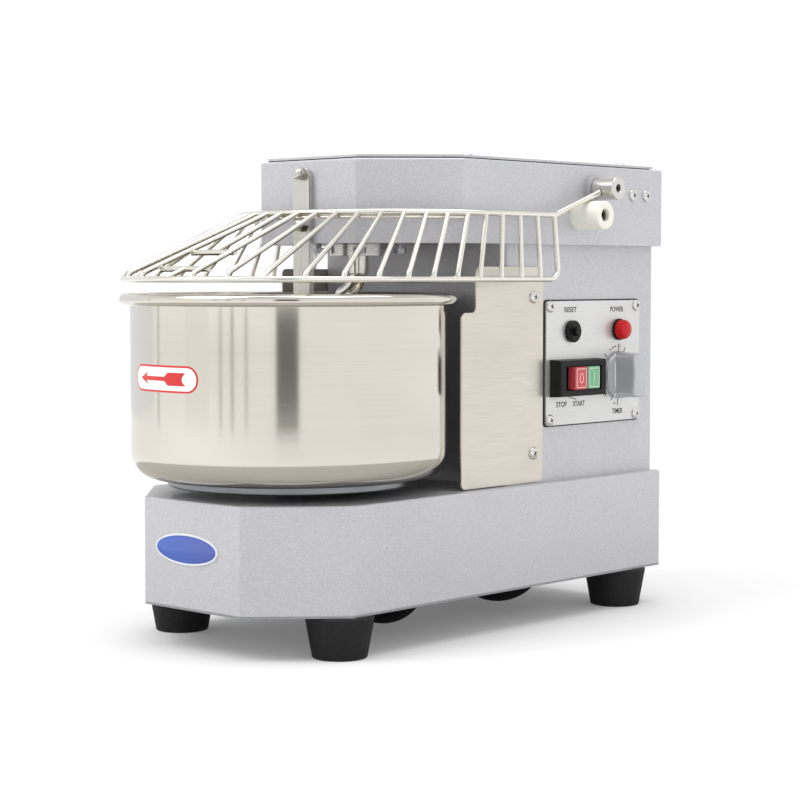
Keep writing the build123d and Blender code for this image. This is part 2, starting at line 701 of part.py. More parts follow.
with BuildPart() as motor_fan:
    with Locations((MOTOR_X, MAIN_Y, MOTOR_TOP_Z - 22)):
        Cylinder(34, 2, align=(Align.CENTER, Align.CENTER, Align.MIN))
        Cylinder(10, 14, align=(Align.CENTER, Align.CENTER, Align.MIN))
    for blade in range(7):
        blade_plane = Plane(
            origin=(MOTOR_X, MAIN_Y, MOTOR_TOP_Z - 20),
            x_dir=(cos(2 * pi * blade / 7), sin(2 * pi * blade / 7), 0),
            z_dir=(0, 0, 1),
        )
        with BuildSketch(blade_plane):
            with Locations((21, 0)):
                Rectangle(24, 2)
        extrude(amount=12)
    with Locations((MOTOR_X, MAIN_Y, MOTOR_TOP_Z - 22)):
        Cylinder(5.4, 40, mode=Mode.SUBTRACT)
save(motor_fan.part, "motor_fan")

with BuildPart() as motor_housing:
    with Locations((MOTOR_X, MAIN_Y, MOTOR_BASE_Z)):
        Cylinder(MOTOR_R, MOTOR_TOP_Z - MOTOR_BASE_Z, align=(Align.CENTER, Align.CENTER, Align.MIN))
    with Locations((MOTOR_X, MAIN_Y, MOTOR_BASE_Z + 14)):
        Cylinder(
            MOTOR_R - 5,
            MOTOR_TOP_Z - MOTOR_BASE_Z - 17,
            align=(Align.CENTER, Align.CENTER, Align.MIN),
            mode=Mode.SUBTRACT,
        )
    with Locations((MOTOR_X, MAIN_Y, MOTOR_BASE_Z)):
        Cylinder(16, 14, align=(Align.CENTER, Align.CENTER, Align.MIN), mode=Mode.SUBTRACT)
    with Locations((MOTOR_X, MAIN_Y, MOTOR_TOP_Z)):
        with PolarLocations(22, 8):
            Cylinder(5, 12, mode=Mode.SUBTRACT)
save(motor_housing.part, "motor_housing")

with BuildPart() as gearbox_housing:
    with BuildSketch(Plane.XY.offset(GEAR_Z - 14)):
        with Locations((MAIN_X, MAIN_Y)):
            Circle(61)
        with Locations((MOTOR_X, MAIN_Y)):
            Circle(30)
        make_hull()
    extrude(amount=28)
    with BuildSketch(Plane.XY.offset(GEAR_Z - 10)):
        with Locations((MAIN_X, MAIN_Y)):
            Circle(57)
        with Locations((MOTOR_X, MAIN_Y)):
            Circle(26)
        make_hull()
    extrude(amount=20, mode=Mode.SUBTRACT)
    with Locations((MAIN_X, MAIN_Y, GEAR_Z - 26)):
        Cylinder(24, 16, align=(Align.CENTER, Align.CENTER, Align.MIN))
    with Locations((MAIN_X, MAIN_Y, GEAR_Z + 10)):
        Cylinder(24, 16, align=(Align.CENTER, Align.CENTER, Align.MIN))
    with Locations((MAIN_X, MAIN_Y, GEAR_Z)):
        Cylinder(20, 60, mode=Mode.SUBTRACT)
    with Locations((MOTOR_X, MAIN_Y, GEAR_Z + 10)):
        Cylinder(22, MOTOR_BASE_Z - GEAR_Z - 10, align=(Align.CENTER, Align.CENTER, Align.MIN))
        Cylinder(16, 40, align=(Align.CENTER, Align.CENTER, Align.MIN), mode=Mode.SUBTRACT)
    for post_x, post_y in ((-35, 88), (-35, 128), (80, 78), (80, 138)):
        with Locations((post_x, post_y, BASE_SKIRT_Z)):
            Cylinder(5, GEAR_Z - 14 - BASE_SKIRT_Z, align=(Align.CENTER, Align.CENTER, Align.MIN))
save(gearbox_housing.part, "gearbox_housing")

ball_bearings = [
    bearing_ring(0, BOWL_Y, 80, 12, SPINDLE_R + 0.05, 25),
    bearing_ring(0, BOWL_Y, 108, 12, SPINDLE_R + 0.05, 25),
    bearing_ring(0, HOOK_Y, HEAD_FLOOR - 7, 12, HOOK_SHAFT_R + 0.05, 20),
    bearing_ring(0, HOOK_Y, HEAD_FLOOR + 22, 12, HOOK_SHAFT_R + 0.05, 20),
    bearing_ring(MAIN_X, MAIN_Y, GEAR_Z - 25, 12, MAIN_R + 0.05, 20),
    bearing_ring(MAIN_X, MAIN_Y, GEAR_Z + 13, 12, MAIN_R + 0.05, 20),
    bearing_ring(MOTOR_X, MAIN_Y, MOTOR_BASE_Z + 1, 10, 5.45, 16),
]
save(Compound(children=ball_bearings), "ball_bearings")

bowl_pitch_r = CHAIN_PITCH / 2 / sin(pi / BOWL_TEETH)
low_pitch_r = CHAIN_PITCH / 2 / sin(pi / MAIN_LOW_TEETH)
head_pitch_r = CHAIN_PITCH / 2 / sin(pi / HEAD_TEETH)
save(link_band((0, BOWL_Y), bowl_pitch_r, (MAIN_X, MAIN_Y), low_pitch_r, BASE_CHAIN_Z), "base_chain")
save(link_band((0, HOOK_Y), head_pitch_r, (MAIN_X, MAIN_Y), head_pitch_r, HEAD_CHAIN_Z), "head_chain")

# ---- control panel -------------------------------------------------------------------------------
def control_holes(grow):
    """Openings for the four controls, in a sketch on a side plane."""
    with Locations((RESET_Y, RESET_Z), (LAMP_Y, LAMP_Z)):
        Circle(7.6 + grow, mode=Mode.SUBTRACT)
    with Locations((SWITCH_Y, SWITCH_Z)):
        Rectangle(53 + grow, 26 + grow, mode=Mode.SUBTRACT)
    with Locations((TIMER_Y, TIMER_Z)):
        Circle(5.8 + grow, mode=Mode.SUBTRACT)


with BuildPart() as panel_gasket:
    with BuildSketch(side_plane(COLUMN_HALF)):
        with Locations((PANEL_Y, PANEL_Z)):
            RectangleRounded(PANEL_WIDTH + 2.4, PANEL_HEIGHT + 2.4, 4)
        control_holes(0.1)
    extrude(amount=PANEL_X - COLUMN_HALF)
    drill(side_plane(PANEL_X), PANEL_SCREWS, PANEL_X - COLUMN_HALF)
save(panel_gasket.part, "panel_gasket")

with BuildPart() as control_panel:
    with BuildSketch(side_plane(PANEL_X)):
        with Locations((PANEL_Y, PANEL_Z)):
            RectangleRounded(PANEL_WIDTH, PANEL_HEIGHT, 3)
        control_holes(0.0)
    extrude(amount=PANEL_SHEET)
    drill(side_plane(PANEL_FACE), PANEL_SCREWS, PANEL_SHEET)
save(control_panel.part, "control_panel")


# Pan-head screws of the lid, head flanks, rear cover, guard plates and control panel.
pan_head_screws = []
for screw_x, screw_y in LID_SCREWS:
    seat = Plane(origin=(screw_x, screw_y, LID_TOP), z_dir=(0, 0, 1))
    pan_head_screws.append(pan_screw(seat, 4.5, 2.4, 7))
for screw_x, screw_z in REAR_SCREWS:
    seat = Plane(origin=(-screw_x, REAR + REAR_SHEET, screw_z), x_dir=(1, 0, 0), z_dir=(0, 1, 0))
    pan_head_screws.append(pan_screw(seat, 4.5, 2.4, 6))
for side in (-1, 1):
    for reach, places in ((BODY_HALF, FLANK_SCREWS), (COLUMN_HALF + GUARD_SHEET, GUARD_SCREWS)):
        for screw_y, screw_z in places:
            seat = Plane(origin=(side * reach, screw_y, screw_z), x_dir=(0, 1, 0), z_dir=(side, 0, 0))
            pan_head_screws.append(pan_screw(seat, 5.5, 2.6, 7))
for screw_y, screw_z in PANEL_SCREWS:
    seat = Plane(origin=(PANEL_FACE, screw_y, screw_z), x_dir=(0, 1, 0), z_dir=(1, 0, 0))
    pan_head_screws.append(pan_screw(seat, 5.2, 2.4, 8))
save(Compound(children=pan_head_screws), "pan_head_screws")

# Stop and start switch: a black rocker-style frame with two separate push keys.
KEY_HEIGHT = 20.0
STOP_KEY = (117.0, 17.0)
START_KEY = (138.2, 17.6)
KEY_STEM_R = 3.0
SWITCH_FACE = PANEL_FACE + SWITCH_DEPTH
POCKET_DEPTH = 9.0
POCKET_LOW = 99.0
POCKET_HIGH = 150.0
with BuildPart() as switch_housing:
    with BuildSketch(side_plane(PANEL_FACE)):
        with Locations((SWITCH_Y, SWITCH_Z)):
            Rectangle(SWITCH_WIDTH, SWITCH_HEIGHT)
    extrude(amount=SWITCH_DEPTH, taper=3)
    fillet(switch_housing.faces().sort_by(Axis.X)[-1].edges(), 1.5)
    with BuildSketch(side_plane(SWITCH_FACE)):
        with Locations(((POCKET_LOW + POCKET_HIGH) / 2, SWITCH_Z)):
            Rectangle(POCKET_HIGH - POCKET_LOW, KEY_HEIGHT + 1.6)
    extrude(amount=-POCKET_DEPTH, mode=Mode.SUBTRACT)
    with BuildSketch(side_plane(PANEL_FACE)):
        with Locations((SWITCH_Y, SWITCH_Z)):
            Rectangle(50, 24)
    extrude(amount=-30)
    with BuildSketch(side_plane(SWITCH_FACE)):
        with Locations((STOP_KEY[0], SWITCH_Z), (START_KEY[0], SWITCH_Z)):
            Circle(KEY_STEM_R + 0.05)
    extrude(amount=-26, mode=Mode.SUBTRACT)
save(switch_housing.part, "switch_housing")

for key_name, (key_y, key_width), key_top in (("stop_button", STOP_KEY, 3.0), ("start_button", START_KEY, 0.6)):
    with BuildPart() as key:
        with BuildSketch(side_plane(SWITCH_FACE - POCKET_DEPTH + BUTTON_TRAVEL + 0.5)):
            with Locations((key_y, SWITCH_Z)):
                Rectangle(key_width, KEY_HEIGHT)
        extrude(amount=POCKET_DEPTH - BUTTON_TRAVEL - 0.5 + key_top)
        fillet(key.faces().sort_by(Axis.X)[-1].edges(), 1.0)
        with BuildSketch(side_plane(SWITCH_FACE - POCKET_DEPTH + BUTTON_TRAVEL + 0.5)):
            with Locations((key_y, SWITCH_Z)):
                Circle(KEY_STEM_R)
        extrude(amount=-12)
    save(key.part, key_name)

# Reset breaker: threaded neck through the panel, ring nut outside, small sprung plunger.
with BuildPart() as reset_breaker_body:
    with BuildSketch(side_plane(PANEL_FACE + 4.5)):
        with Locations((RESET_Y, RESET_Z)):
            Circle(7.4)
    extrude(amount=-12)
    with BuildSketch(side_plane(COLUMN_HALF - SHEET)):
        with Locations((RESET_Y, RESET_Z)):
            Rectangle(18, 26)
    extrude(amount=-26)
    with BuildSketch(side_plane(PANEL_FACE + 4.5)):
        with Locations((RESET_Y, RESET_Z)):
            Circle(4.05)
    extrude(amount=-18, mode=Mode.SUBTRACT)
save(reset_breaker_body.part, "reset_breaker_body")

with BuildPart() as reset_ring_nut:
    with BuildSketch(side_plane(PANEL_FACE)):
        with Locations((RESET_Y, RESET_Z)):
            Circle(9.75)
            Circle(7.4, mode=Mode.SUBTRACT)
    extrude(amount=4)
    chamfer(reset_ring_nut.faces().sort_by(Axis.X)[-1].edges().sort_by(SortBy.LENGTH)[-1], 0.8)
save(reset_ring_nut.part, "reset_ring_nut")

with BuildPart() as reset_button:
    with BuildSketch(side_plane(PANEL_FACE + 8.6)):
        with Locations((RESET_Y, RESET_Z)):
            Circle(4)
    extrude(amount=-18)
    fillet(reset_button.faces().sort_by(Axis.X)[-1].edges(), 1.2)
save(reset_button.part, "reset_button")

# Power lamp.
with BuildPart() as power_lamp_bezel:
    with BuildSketch(side_plane(PANEL_FACE)):
        with Locations((LAMP_Y, LAMP_Z)):
            Circle(9.8)
    extrude(amount=2)
    with BuildSketch(side_plane(PANEL_FACE)):
        with Locations((LAMP_Y, LAMP_Z)):
            Circle(7.4)
    extrude(amount=-24)
save(power_lamp_bezel.part, "power_lamp_bezel")

with BuildPart() as power_lamp_lens:
    with BuildSketch(side_plane(PANEL_FACE + 2)):
        with Locations((LAMP_Y, LAMP_Z)):
            Circle(9.0)
    extrude(amount=9)
    fillet(power_lamp_lens.faces().sort_by(Axis.X)[-1].edges(), 2.5)
save(power_lamp_lens.part, "power_lamp_lens")

# Timer: clockwork body behind the wall and a grip-bar knob on its shaft.
KNOB_R = 21.5
KNOB_SKIRT = 4.0
KNOB_REACH = 25.5
KNOB_BAR = 20.0
with BuildPart() as timer_body:
    with BuildSketch(side_plane(COLUMN_HALF - SHEET)):
        with Locations((TIMER_Y, TIMER_Z)):
            RectangleRounded(44, 44, 4)
    extrude(amount=-28)
    with BuildSketch(side_plane(COLUMN_HALF - SHEET)):
        with Locations((TIMER_Y, TIMER_Z)):
            Circle(5.5)
    extrude(amount=PANEL_FACE - COLUMN_HALF + SHEET - 0.5)
    with BuildSketch(side_plane(PANEL_FACE + 1)):
        with Locations((TIMER_Y, TIMER_Z)):
            Circle(3.05)
    extrude(amount=-25, mode=Mode.SUBTRACT)
save(timer_body.part, "timer_body")

with BuildPart() as timer_knob:
    with BuildSketch(side_plane(PANEL_FACE + 0.5)):
        with Locations((TIMER_Y, TIMER_Z)):
            Circle(KNOB_R)
    extrude(amount=KNOB_SKIRT)
    with BuildSketch(side_plane(PANEL_FACE + 0.5 + KNOB_SKIRT)):
        with Locations((TIMER_Y, TIMER_Z)):
            Circle(KNOB_R - 0.4)
            Rectangle(KNOB_BAR, 2 * KNOB_R, mode=Mode.INTERSECT)
    extrude(amount=KNOB_REACH - KNOB_SKIRT, taper=6)
    fillet(timer_knob.faces().sort_by(Axis.X)[-1].edges(), 1.5)
    with BuildSketch(side_plane(PANEL_FACE + 0.5)):
        with Locations((TIMER_Y, TIMER_Z)):
            Circle(3)
    extrude(amount=-22)
save(timer_knob.part, "timer_knob")

with BuildPart() as electrical_box:
    with Locations((-86, 100, 262)):
        Box(34, 78, 56)
    fillet(electrical_box.edges().filter_by(Axis.X), 3)
save(electrical_box.part, "electrical_box")

# ---- badge on the base's front face: a blank domed ellipse ----------------------------------------
with BuildPart() as badge:
    with BuildSketch(front_plane(BASE_FRONT)):
        with Locations((-4.5, 84.7)):
            Ellipse(37.5, 13)
    extrude(amount=1.6)
    fillet(badge.faces().sort_by(Axis.Y)[0].edges(), 0.8)
save(badge.part, "badge")

# ---- cable gland on the base's rear face ----------------------------------------------------------
GLAND_X = -60.0
GLAND_Z = 80.0
GLAND_BORE_R = 4.2
with BuildPart() as cable_gland:
    with BuildSketch(rear_plane(REAR - 8)):
        with Locations((-GLAND_X, GLAND_Z)):
            Circle(7.8)
    extrude(amount=8)
    with BuildSketch(rear_plane(REAR)):
        with Locations((-GLAND_X, GLAND_Z)):
            RegularPolygon(12, 6)
    extrude(amount=5)
    with BuildSketch(rear_plane(REAR + 5)):
        with Locations((-GLAND_X, GLAND_Z)):
            Circle(9.5)
    extrude(amount=9)
    fillet(cable_gland.faces().sort_by(Axis.Y)[-1].edges(), 2.5)
    with BuildSketch(rear_plane(REAR + 14)):
        with Locations((-GLAND_X, GLAND_Z)):
            Circle(GLAND_BORE_R)
    extrude(amount=-22, mode=Mode.SUBTRACT)
save(cable_gland.part, "cable_gland")

# ---- hinge: bushes, hubs with pins, stops and the guard switch -----------------------------------
BUSH_FLANGE = 6.0
HUB_START = BODY_HALF + BUSH_FLANGE + GAP
HUB_END = 149.0


def flank_plane(side, distance, y=HINGE_Y, z=HINGE_Z):
    """A plane facing away from the machine on one side, centred on the hinge axis."""
    return Plane(origin=(side * distance, y, z), x_dir=(0, 1, 0), z_dir=(side, 0, 0))


with BuildPart() as hinge_bushes:
    for side in (-1, 1):
        with BuildSketch(flank_plane(side, BODY_HALF)):
            Circle(12.5)
        extrude(amount=BUSH_FLANGE)
        with BuildSketch(flank_plane(side, BODY_HALF)):
            Circle(9)
        extrude(amount=-10)
        with BuildSketch(flank_plane(side, BODY_HALF + BUSH_FLANGE)):
            Circle(PIN_R + 0.05)
        extrude(amount=-16, mode=Mode.SUBTRACT)
save(hinge_bushes.part, "hinge_bushes")

ARM_END = Vector(GRID_HIGH_R + 3, HINGE_Y - 7.5, HINGE_Z - 2.7)
ARM_HOLE_R = 3.1
with BuildPart() as hinge_hubs:
    for side in (-1, 1):
        with BuildSketch(flank_plane(side, HUB_START)):
            Circle(HUB_R)
        extrude(amount=HUB_END - HUB_START)
        with BuildSketch(flank_plane(side, HUB_END)):
            Circle(3.4)
        extrude(amount=-6, mode=Mode.SUBTRACT)
        with BuildSketch(flank_plane(side, HUB_START)):
            Circle(PIN_R)
        extrude(amount=-(HUB_START - 100))
        arm_end = Vector(side * ARM_END.X, ARM_END.Y, ARM_END.Z)
        arm_start = Vector(side * GRID_HIGH_R, GRID_POST_Y, GRID_HIGH_Z)
        with BuildSketch(Plane(origin=arm_end, z_dir=arm_start - arm_end)):
            Circle(ARM_HOLE_R)
        extrude(amount=12, mode=Mode.SUBTRACT)
    chamfer(hinge_hubs.faces().sort_by(Axis.X)[-1].edges(), 0.6)
    chamfer(hinge_hubs.faces().sort_by(Axis.X)[0].edges(), 0.6)
save(hinge_hubs.part, "hinge_hubs")

with BuildPart() as hub_screws:
    for side in (-1, 1):
        with BuildSketch(flank_plane(side, HUB_END - 6)):
            Circle(3.4)
        extrude(amount=4.5)
        with BuildSketch(flank_plane(side, HUB_END - 1.5)):
            RegularPolygon(1.7, 6)
        extrude(amount=-3, mode=Mode.SUBTRACT)
save(hub_screws.part, "hub_screws")

with BuildPart() as grid_stops:
    for side in (-1, 1):
        with BuildSketch(flank_plane(side, BODY_HALF, STOP_Y, STOP_Z)):
            Circle(STOP_R)
        extrude(amount=STOP_LENGTH, taper=1.3)
        with BuildSketch(flank_plane(side, BODY_HALF + STOP_LENGTH, STOP_Y, STOP_Z)):
            Circle(5.5)
        extrude(amount=-9, mode=Mode.SUBTRACT)
    fillet(grid_stops.faces().sort_by(Axis.X)[-1].edges(), 1.2)
    fillet(grid_stops.faces().sort_by(Axis.X)[0].edges(), 1.2)
save(grid_stops.part, "grid_stops")

with BuildPart() as stop_screws:
    for side in (-1, 1):
        with BuildSketch(flank_plane(side, BODY_HALF + STOP_LENGTH - 9, STOP_Y, STOP_Z)):
            Circle(4.8)
        extrude(amount=5)
        with BuildSketch(flank_plane(side, BODY_HALF + STOP_LENGTH - 4, STOP_Y, STOP_Z)):
            RegularPolygon(2.4, 6)
        extrude(amount=-3, mode=Mode.SUBTRACT)
save(stop_screws.part, "stop_screws")

with BuildPart() as grid_microswitch:
    with Locations((104, HINGE_Y, HINGE_Z - 20)):
        Box(12, 30, 14)
save(grid_microswitch.part, "grid_microswitch")

# ---- wire guard ----------------------------------------------------------------------------------
SPOKES = 14
STRAIGHT_LOW = 7
STRAIGHT_HIGH = 3
CORNER_R = 10.0
ARM_BEND_R = 25.0
FILL_LOW = 0.15
FILL_HIGH = 0.39


def low_point(index):
    """Foot of spoke number index on the lower ring, on the +X side."""
    if index <= STRAIGHT_LOW:
        return Vector(GRID_LOW_R, GRID_POST_Y - 24 * index - 0.45 * index**2, GRID_LOW_Z)
    angle = radians(90 * (index - STRAIGHT_LOW) / (SPOKES - STRAIGHT_LOW))
    return Vector(GRID_LOW_R * cos(angle), GRID_LOW_Y - GRID_LOW_R * sin(angle), GRID_LOW_Z)


def high_point(index):
    """Head of spoke number index on the upper ring, on the +X side."""
    if index <= STRAIGHT_HIGH:
        return Vector(GRID_HIGH_R, GRID_POST_Y - 23 * index, GRID_HIGH_Z)
    angle = radians(2 + 88 * (index - STRAIGHT_HIGH) / (SPOKES - STRAIGHT_HIGH))
    return Vector(GRID_HIGH_R * cos(angle), GRID_HIGH_Y - GRID_HIGH_R * sin(angle), GRID_HIGH_Z)


def mirrored(point):
    """The same point on the -X side."""
    return Vector(-point.X, point.Y, point.Z)


def straight_wire(start, end, wire_r):
    """A straight wire between two points."""
    with BuildPart() as wire:
        with BuildSketch(Plane(origin=start, z_dir=end - start)):
            Circle(wire_r)
        extrude(amount=(end - start).length)
    return wire.part


spoke_lines = []
for index in range(1, SPOKES):
    spoke_lines.append((low_point(index), high_point(index)))
    spoke_lines.append((mirrored(low_point(index)), mirrored(high_point(index))))
edge_foot, edge_head = low_point(SPOKES - 1), high_point(SPOKES - 1)
mid_foot, mid_head = low_point(SPOKES), high_point(SPOKES)
low_bar = edge_foot + (edge_head - edge_foot) * FILL_LOW
high_bar = edge_foot + (edge_head - edge_foot) * FILL_HIGH
spoke_lines.append((mid_foot, Vector(0, low_bar.Y, low_bar.Z)))
spoke_lines.append((Vector(0, high_bar.Y, high_bar.Z), mid_head))
wires = [straight_wire(start, end, SPOKE_R) for start, end in spoke_lines]
wires.append(straight_wire(low_bar, mirrored(low_bar), CROSS_R))
wires.append(straight_wire(high_bar, mirrored(high_bar), CROSS_R))


def ring_path(radius, centre_y, height, tail, bend_r):
    """Path of a wire that goes round the bowl end and on, at each side, through the tail's points."""
    right = [Vector(radius, centre_y, height), *tail]
    left = [mirrored(point) for point in right]
    FilletPolyline(*reversed(right), radius=[bend_r])
    ThreePointArc(right[0], Vector(0, centre_y - radius, height), left[0])
    FilletPolyline(*left, radius=[bend_r])


with BuildPart() as lower_ring:
    with BuildLine() as lower_path:
        corner = Vector(GRID_LOW_R, GRID_POST_Y, GRID_LOW_Z)
        ring_path(GRID_LOW_R, GRID_LOW_Y, GRID_LOW_Z, [corner, high_point(0)], CORNER_R)
    with BuildSketch(Plane(origin=high_point(0), z_dir=corner - high_point(0))):
        Circle(RISER_R)
    sweep(path=lower_path.wires()[0])

with BuildPart() as upper_ring:
    with BuildLine() as upper_path:
        ring_path(GRID_HIGH_R, GRID_HIGH_Y, GRID_HIGH_Z, [high_point(0), ARM_END], ARM_BEND_R)
    with BuildSketch(Plane(origin=ARM_END, z_dir=high_point(0) - ARM_END)):
        Circle(WIRE_R)
    sweep(path=upper_path.wires()[0])

with BuildPart() as safety_grid:
    add(upper_ring.part)
    add(lower_ring.part)
    add(wires)
save(safety_grid.part, "safety_grid")
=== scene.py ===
import bpy
import bmesh
import math
from mathutils import Matrix, Vector


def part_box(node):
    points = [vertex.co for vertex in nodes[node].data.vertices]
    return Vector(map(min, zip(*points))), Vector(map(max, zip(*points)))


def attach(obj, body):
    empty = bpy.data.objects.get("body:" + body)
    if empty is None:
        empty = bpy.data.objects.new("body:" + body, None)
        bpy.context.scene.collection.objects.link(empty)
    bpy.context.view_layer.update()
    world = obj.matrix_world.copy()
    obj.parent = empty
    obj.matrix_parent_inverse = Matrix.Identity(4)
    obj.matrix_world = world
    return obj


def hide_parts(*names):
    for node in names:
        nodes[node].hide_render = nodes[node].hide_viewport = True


# Looks of a table-top spiral dough mixer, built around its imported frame. Metres throughout.
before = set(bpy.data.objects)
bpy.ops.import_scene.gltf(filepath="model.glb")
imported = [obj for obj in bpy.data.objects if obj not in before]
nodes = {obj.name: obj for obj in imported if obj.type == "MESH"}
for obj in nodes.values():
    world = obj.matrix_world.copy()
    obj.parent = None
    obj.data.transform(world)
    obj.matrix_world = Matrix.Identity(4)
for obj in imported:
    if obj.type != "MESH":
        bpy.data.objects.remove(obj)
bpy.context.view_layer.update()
scene = bpy.context.scene


# ---- Painted housings -----------------------------------------------------------------------------
# Base, column, head, lid and rear cover are folded 2 mm steel sheet.
# They are powder-coated light grey with a fine metallic sparkle and a slight orange peel.
def colour(red, green, blue):
    """Linear colour of three screen values from 0 to 255."""
    parts = [value / 255 for value in (red, green, blue)]
    linear = [((part + 0.055) / 1.055) ** 2.4 if part > 0.04045 else part / 12.92 for part in parts]
    return (*linear, 1.0)


def put(tree, kind, inputs=None, **settings):
    """Adds a node, makes its settings, and fills its inputs with values or other nodes' outputs."""
    node = tree.nodes.new(kind)
    for setting, value in settings.items():
        setattr(node, setting, value)
    for socket, value in (inputs or {}).items():
        if isinstance(value, bpy.types.NodeSocket):
            tree.links.new(value, node.inputs[socket])
        else:
            node.inputs[socket].default_value = value
    return node


def new_group(kind, name, inputs, outputs):
    """A node group with named sockets; returns it with its input and output nodes."""
    group = bpy.data.node_groups.new(name, kind)
    for label, socket_kind in inputs:
        group.interface.new_socket(label, in_out="INPUT", socket_type="NodeSocket" + socket_kind)
    for label, socket_kind in outputs:
        group.interface.new_socket(label, in_out="OUTPUT", socket_type="NodeSocket" + socket_kind)
    return group, group.nodes.new("NodeGroupInput"), group.nodes.new("NodeGroupOutput")


def grain_group():
    """Fine grain and broad clouding: a colour between two shades, a roughness and a height."""
    group, given, result = new_group(
        "ShaderNodeTree",
        "surface_grain",
        [("Vector", "Vector"), ("Grain", "Vector"), ("Light", "Color"), ("Dark", "Color"),
         ("Smooth", "Float"), ("Rough", "Float"), ("Clouding", "Float")],
        [("Color", "Color"), ("Roughness", "Float"), ("Height", "Float")],
    )
    stretched = put(group, "ShaderNodeVectorMath",
                    {0: given.outputs["Vector"], 1: given.outputs["Grain"]}, operation="MULTIPLY")
    fine = put(group, "ShaderNodeTexNoise",
               {"Vector": stretched.outputs[0], "Scale": 1.0, "Detail": 3.0, "Roughness": 0.6})
    broad = put(group, "ShaderNodeTexNoise",
                {"Vector": given.outputs["Vector"], "Scale": 11.0, "Detail": 2.0})
    blend = put(group, "ShaderNodeMix",
                {0: given.outputs["Clouding"], 2: fine.outputs[0], 3: broad.outputs[0]}, data_type="FLOAT")
    mask = put(group, "ShaderNodeMapRange", {"Value": blend.outputs[0], "From Min": 0.3, "From Max": 0.7})
    shade = put(group, "ShaderNodeMix",
                {0: mask.outputs[0], 6: given.outputs["Light"], 7: given.outputs["Dark"]}, data_type="RGBA")
    rough = put(group, "ShaderNodeMapRange",
                {"Value": mask.outputs[0], "To Min": given.outputs["Smooth"],
                 "To Max": given.outputs["Rough"]})
    group.links.new(shade.outputs[2], result.inputs["Color"])
    group.links.new(rough.outputs[0], result.inputs["Roughness"])
    group.links.new(fine.outputs[0], result.inputs["Height"])
    return group


surface_grain = grain_group()


def fleck_group():
    """Scattered flakes: mixes a second colour in, in tiny chosen cells, and says where they are."""
    group, given, result = new_group(
        "ShaderNodeTree",
        "paint_flecks",
        [("Vector", "Vector"), ("Color", "Color"), ("Fleck Color", "Color"), ("Size", "Float"),
         ("Share", "Float")],
        [("Color", "Color"), ("Fleck", "Float")],
    )
    density = put(group, "ShaderNodeMath", {0: 1.0, 1: given.outputs["Size"]}, operation="DIVIDE")
    cells = put(group, "ShaderNodeTexVoronoi",
                {"Vector": given.outputs["Vector"], "Scale": density.outputs[0]})
    lots = put(group, "ShaderNodeSeparateColor", {0: cells.outputs["Color"]})
    chosen = put(group, "ShaderNodeMath",
                 {0: lots.outputs[0], 1: given.outputs["Share"]}, operation="LESS_THAN")
    near = put(group, "ShaderNodeMapRange",
               {"Value": cells.outputs["Distance"], "From Min": 0.6, "From Max": 0.1})
    fleck = put(group, "ShaderNodeMath", {0: chosen.outputs[0], 1: near.outputs[0]}, operation="MULTIPLY")
    shade = put(group, "ShaderNodeMix",
                {0: fleck.outputs[0], 6: given.outputs["Color"], 7: given.outputs["Fleck Color"]},
                data_type="RGBA")
    group.links.new(shade.outputs[2], result.inputs["Color"])
    group.links.new(fleck.outputs[0], result.inputs["Fleck"])
    return group


paint_flecks = fleck_group()


def finish(name, light, dark, grain, smooth, rough, bump=0.0, clouding=0.35, flecks=None, **constants):
    """A material with a grained colour and roughness; flecks are (colour, size, share)."""
    material = bpy.data.materials.new(name)
    material.use_nodes = True
    tree = material.node_tree
    shader = tree.nodes["Principled BSDF"]
    where = put(tree, "ShaderNodeTexCoord").outputs["Object"]
    grained = put(tree, "ShaderNodeGroup",
                  {"Vector": where, "Grain": grain, "Light": colour(*light), "Dark": colour(*dark),
                   "Smooth": smooth, "Rough": rough, "Clouding": clouding}, node_tree=surface_grain)
    shade = grained.outputs["Color"]
    if flecks:
        fleck_colour, size, share = flecks
        flaked = put(tree, "ShaderNodeGroup",
                     {"Vector": where, "Color": shade, "Fleck Color": colour(*fleck_colour),
                      "Size": size, "Share": share}, node_tree=paint_flecks)
        shade = flaked.outputs["Color"]
    tree.links.new(shade, shader.inputs["Base Color"])
    tree.links.new(grained.outputs["Roughness"], shader.inputs["Roughness"])
    if bump:
        raised = put(tree, "ShaderNodeBump", {"Distance": bump, "Height": grained.outputs["Height"]})
        tree.links.new(raised.outputs[0], shader.inputs["Normal"])
    for socket, value in constants.items():
        shader.inputs[socket.replace("_", " ")].default_value = value
    return material


def coat(material, *names):
    """Gives CAD nodes a material."""
    for name in names:
        nodes[name].material_slots[0].material = material


sparkle_paint = finish("sparkle_paint", (197, 197, 201), (185, 185, 190), (620, 620, 620), 0.34, 0.46,
                       bump=0.00006, flecks=((216, 216, 219), 0.0010, 0.4), Metallic=0.3, Coat_Weight=0.12)
coat(sparkle_paint, "base_housing", "column_housing", "head_housing", "head_lid", "rear_cover")
lid_rubber = finish("lid_rubber", (34, 34, 35), (22, 22, 23), (500, 500, 500), 0.55, 0.7, bump=0.00005)
coat(lid_rubber, "lid_seal")


# ---- Bowl -----------------------------------------------------------------------------------------
# Spun and polished stainless bowl with a rolled rim, on a turned steel plate.
# A square-shouldered spindle in the plate passes through the hole in its floor.
BOWL_AXIS = Vector((0, -0.118))
BOWL_R = 0.1334
BOWL_RIM_R = 0.1422
BOWL_RIM_Z = 0.2856
BOWL_BASE_Z = 0.1370
BOWL_SHEET = 0.0012
BOWL_CORNER_R = 0.022
FLOOR_RADII = (0.006, 0.03, 0.07)


def arc(centre, radius, start, end, steps):
    """Points along an arc, angles in degrees."""
    turns = [math.radians(start + (end - start) * step / steps) for step in range(steps + 1)]
    return [(centre[0] + radius * math.cos(turn), centre[1] + radius * math.sin(turn)) for turn in turns]


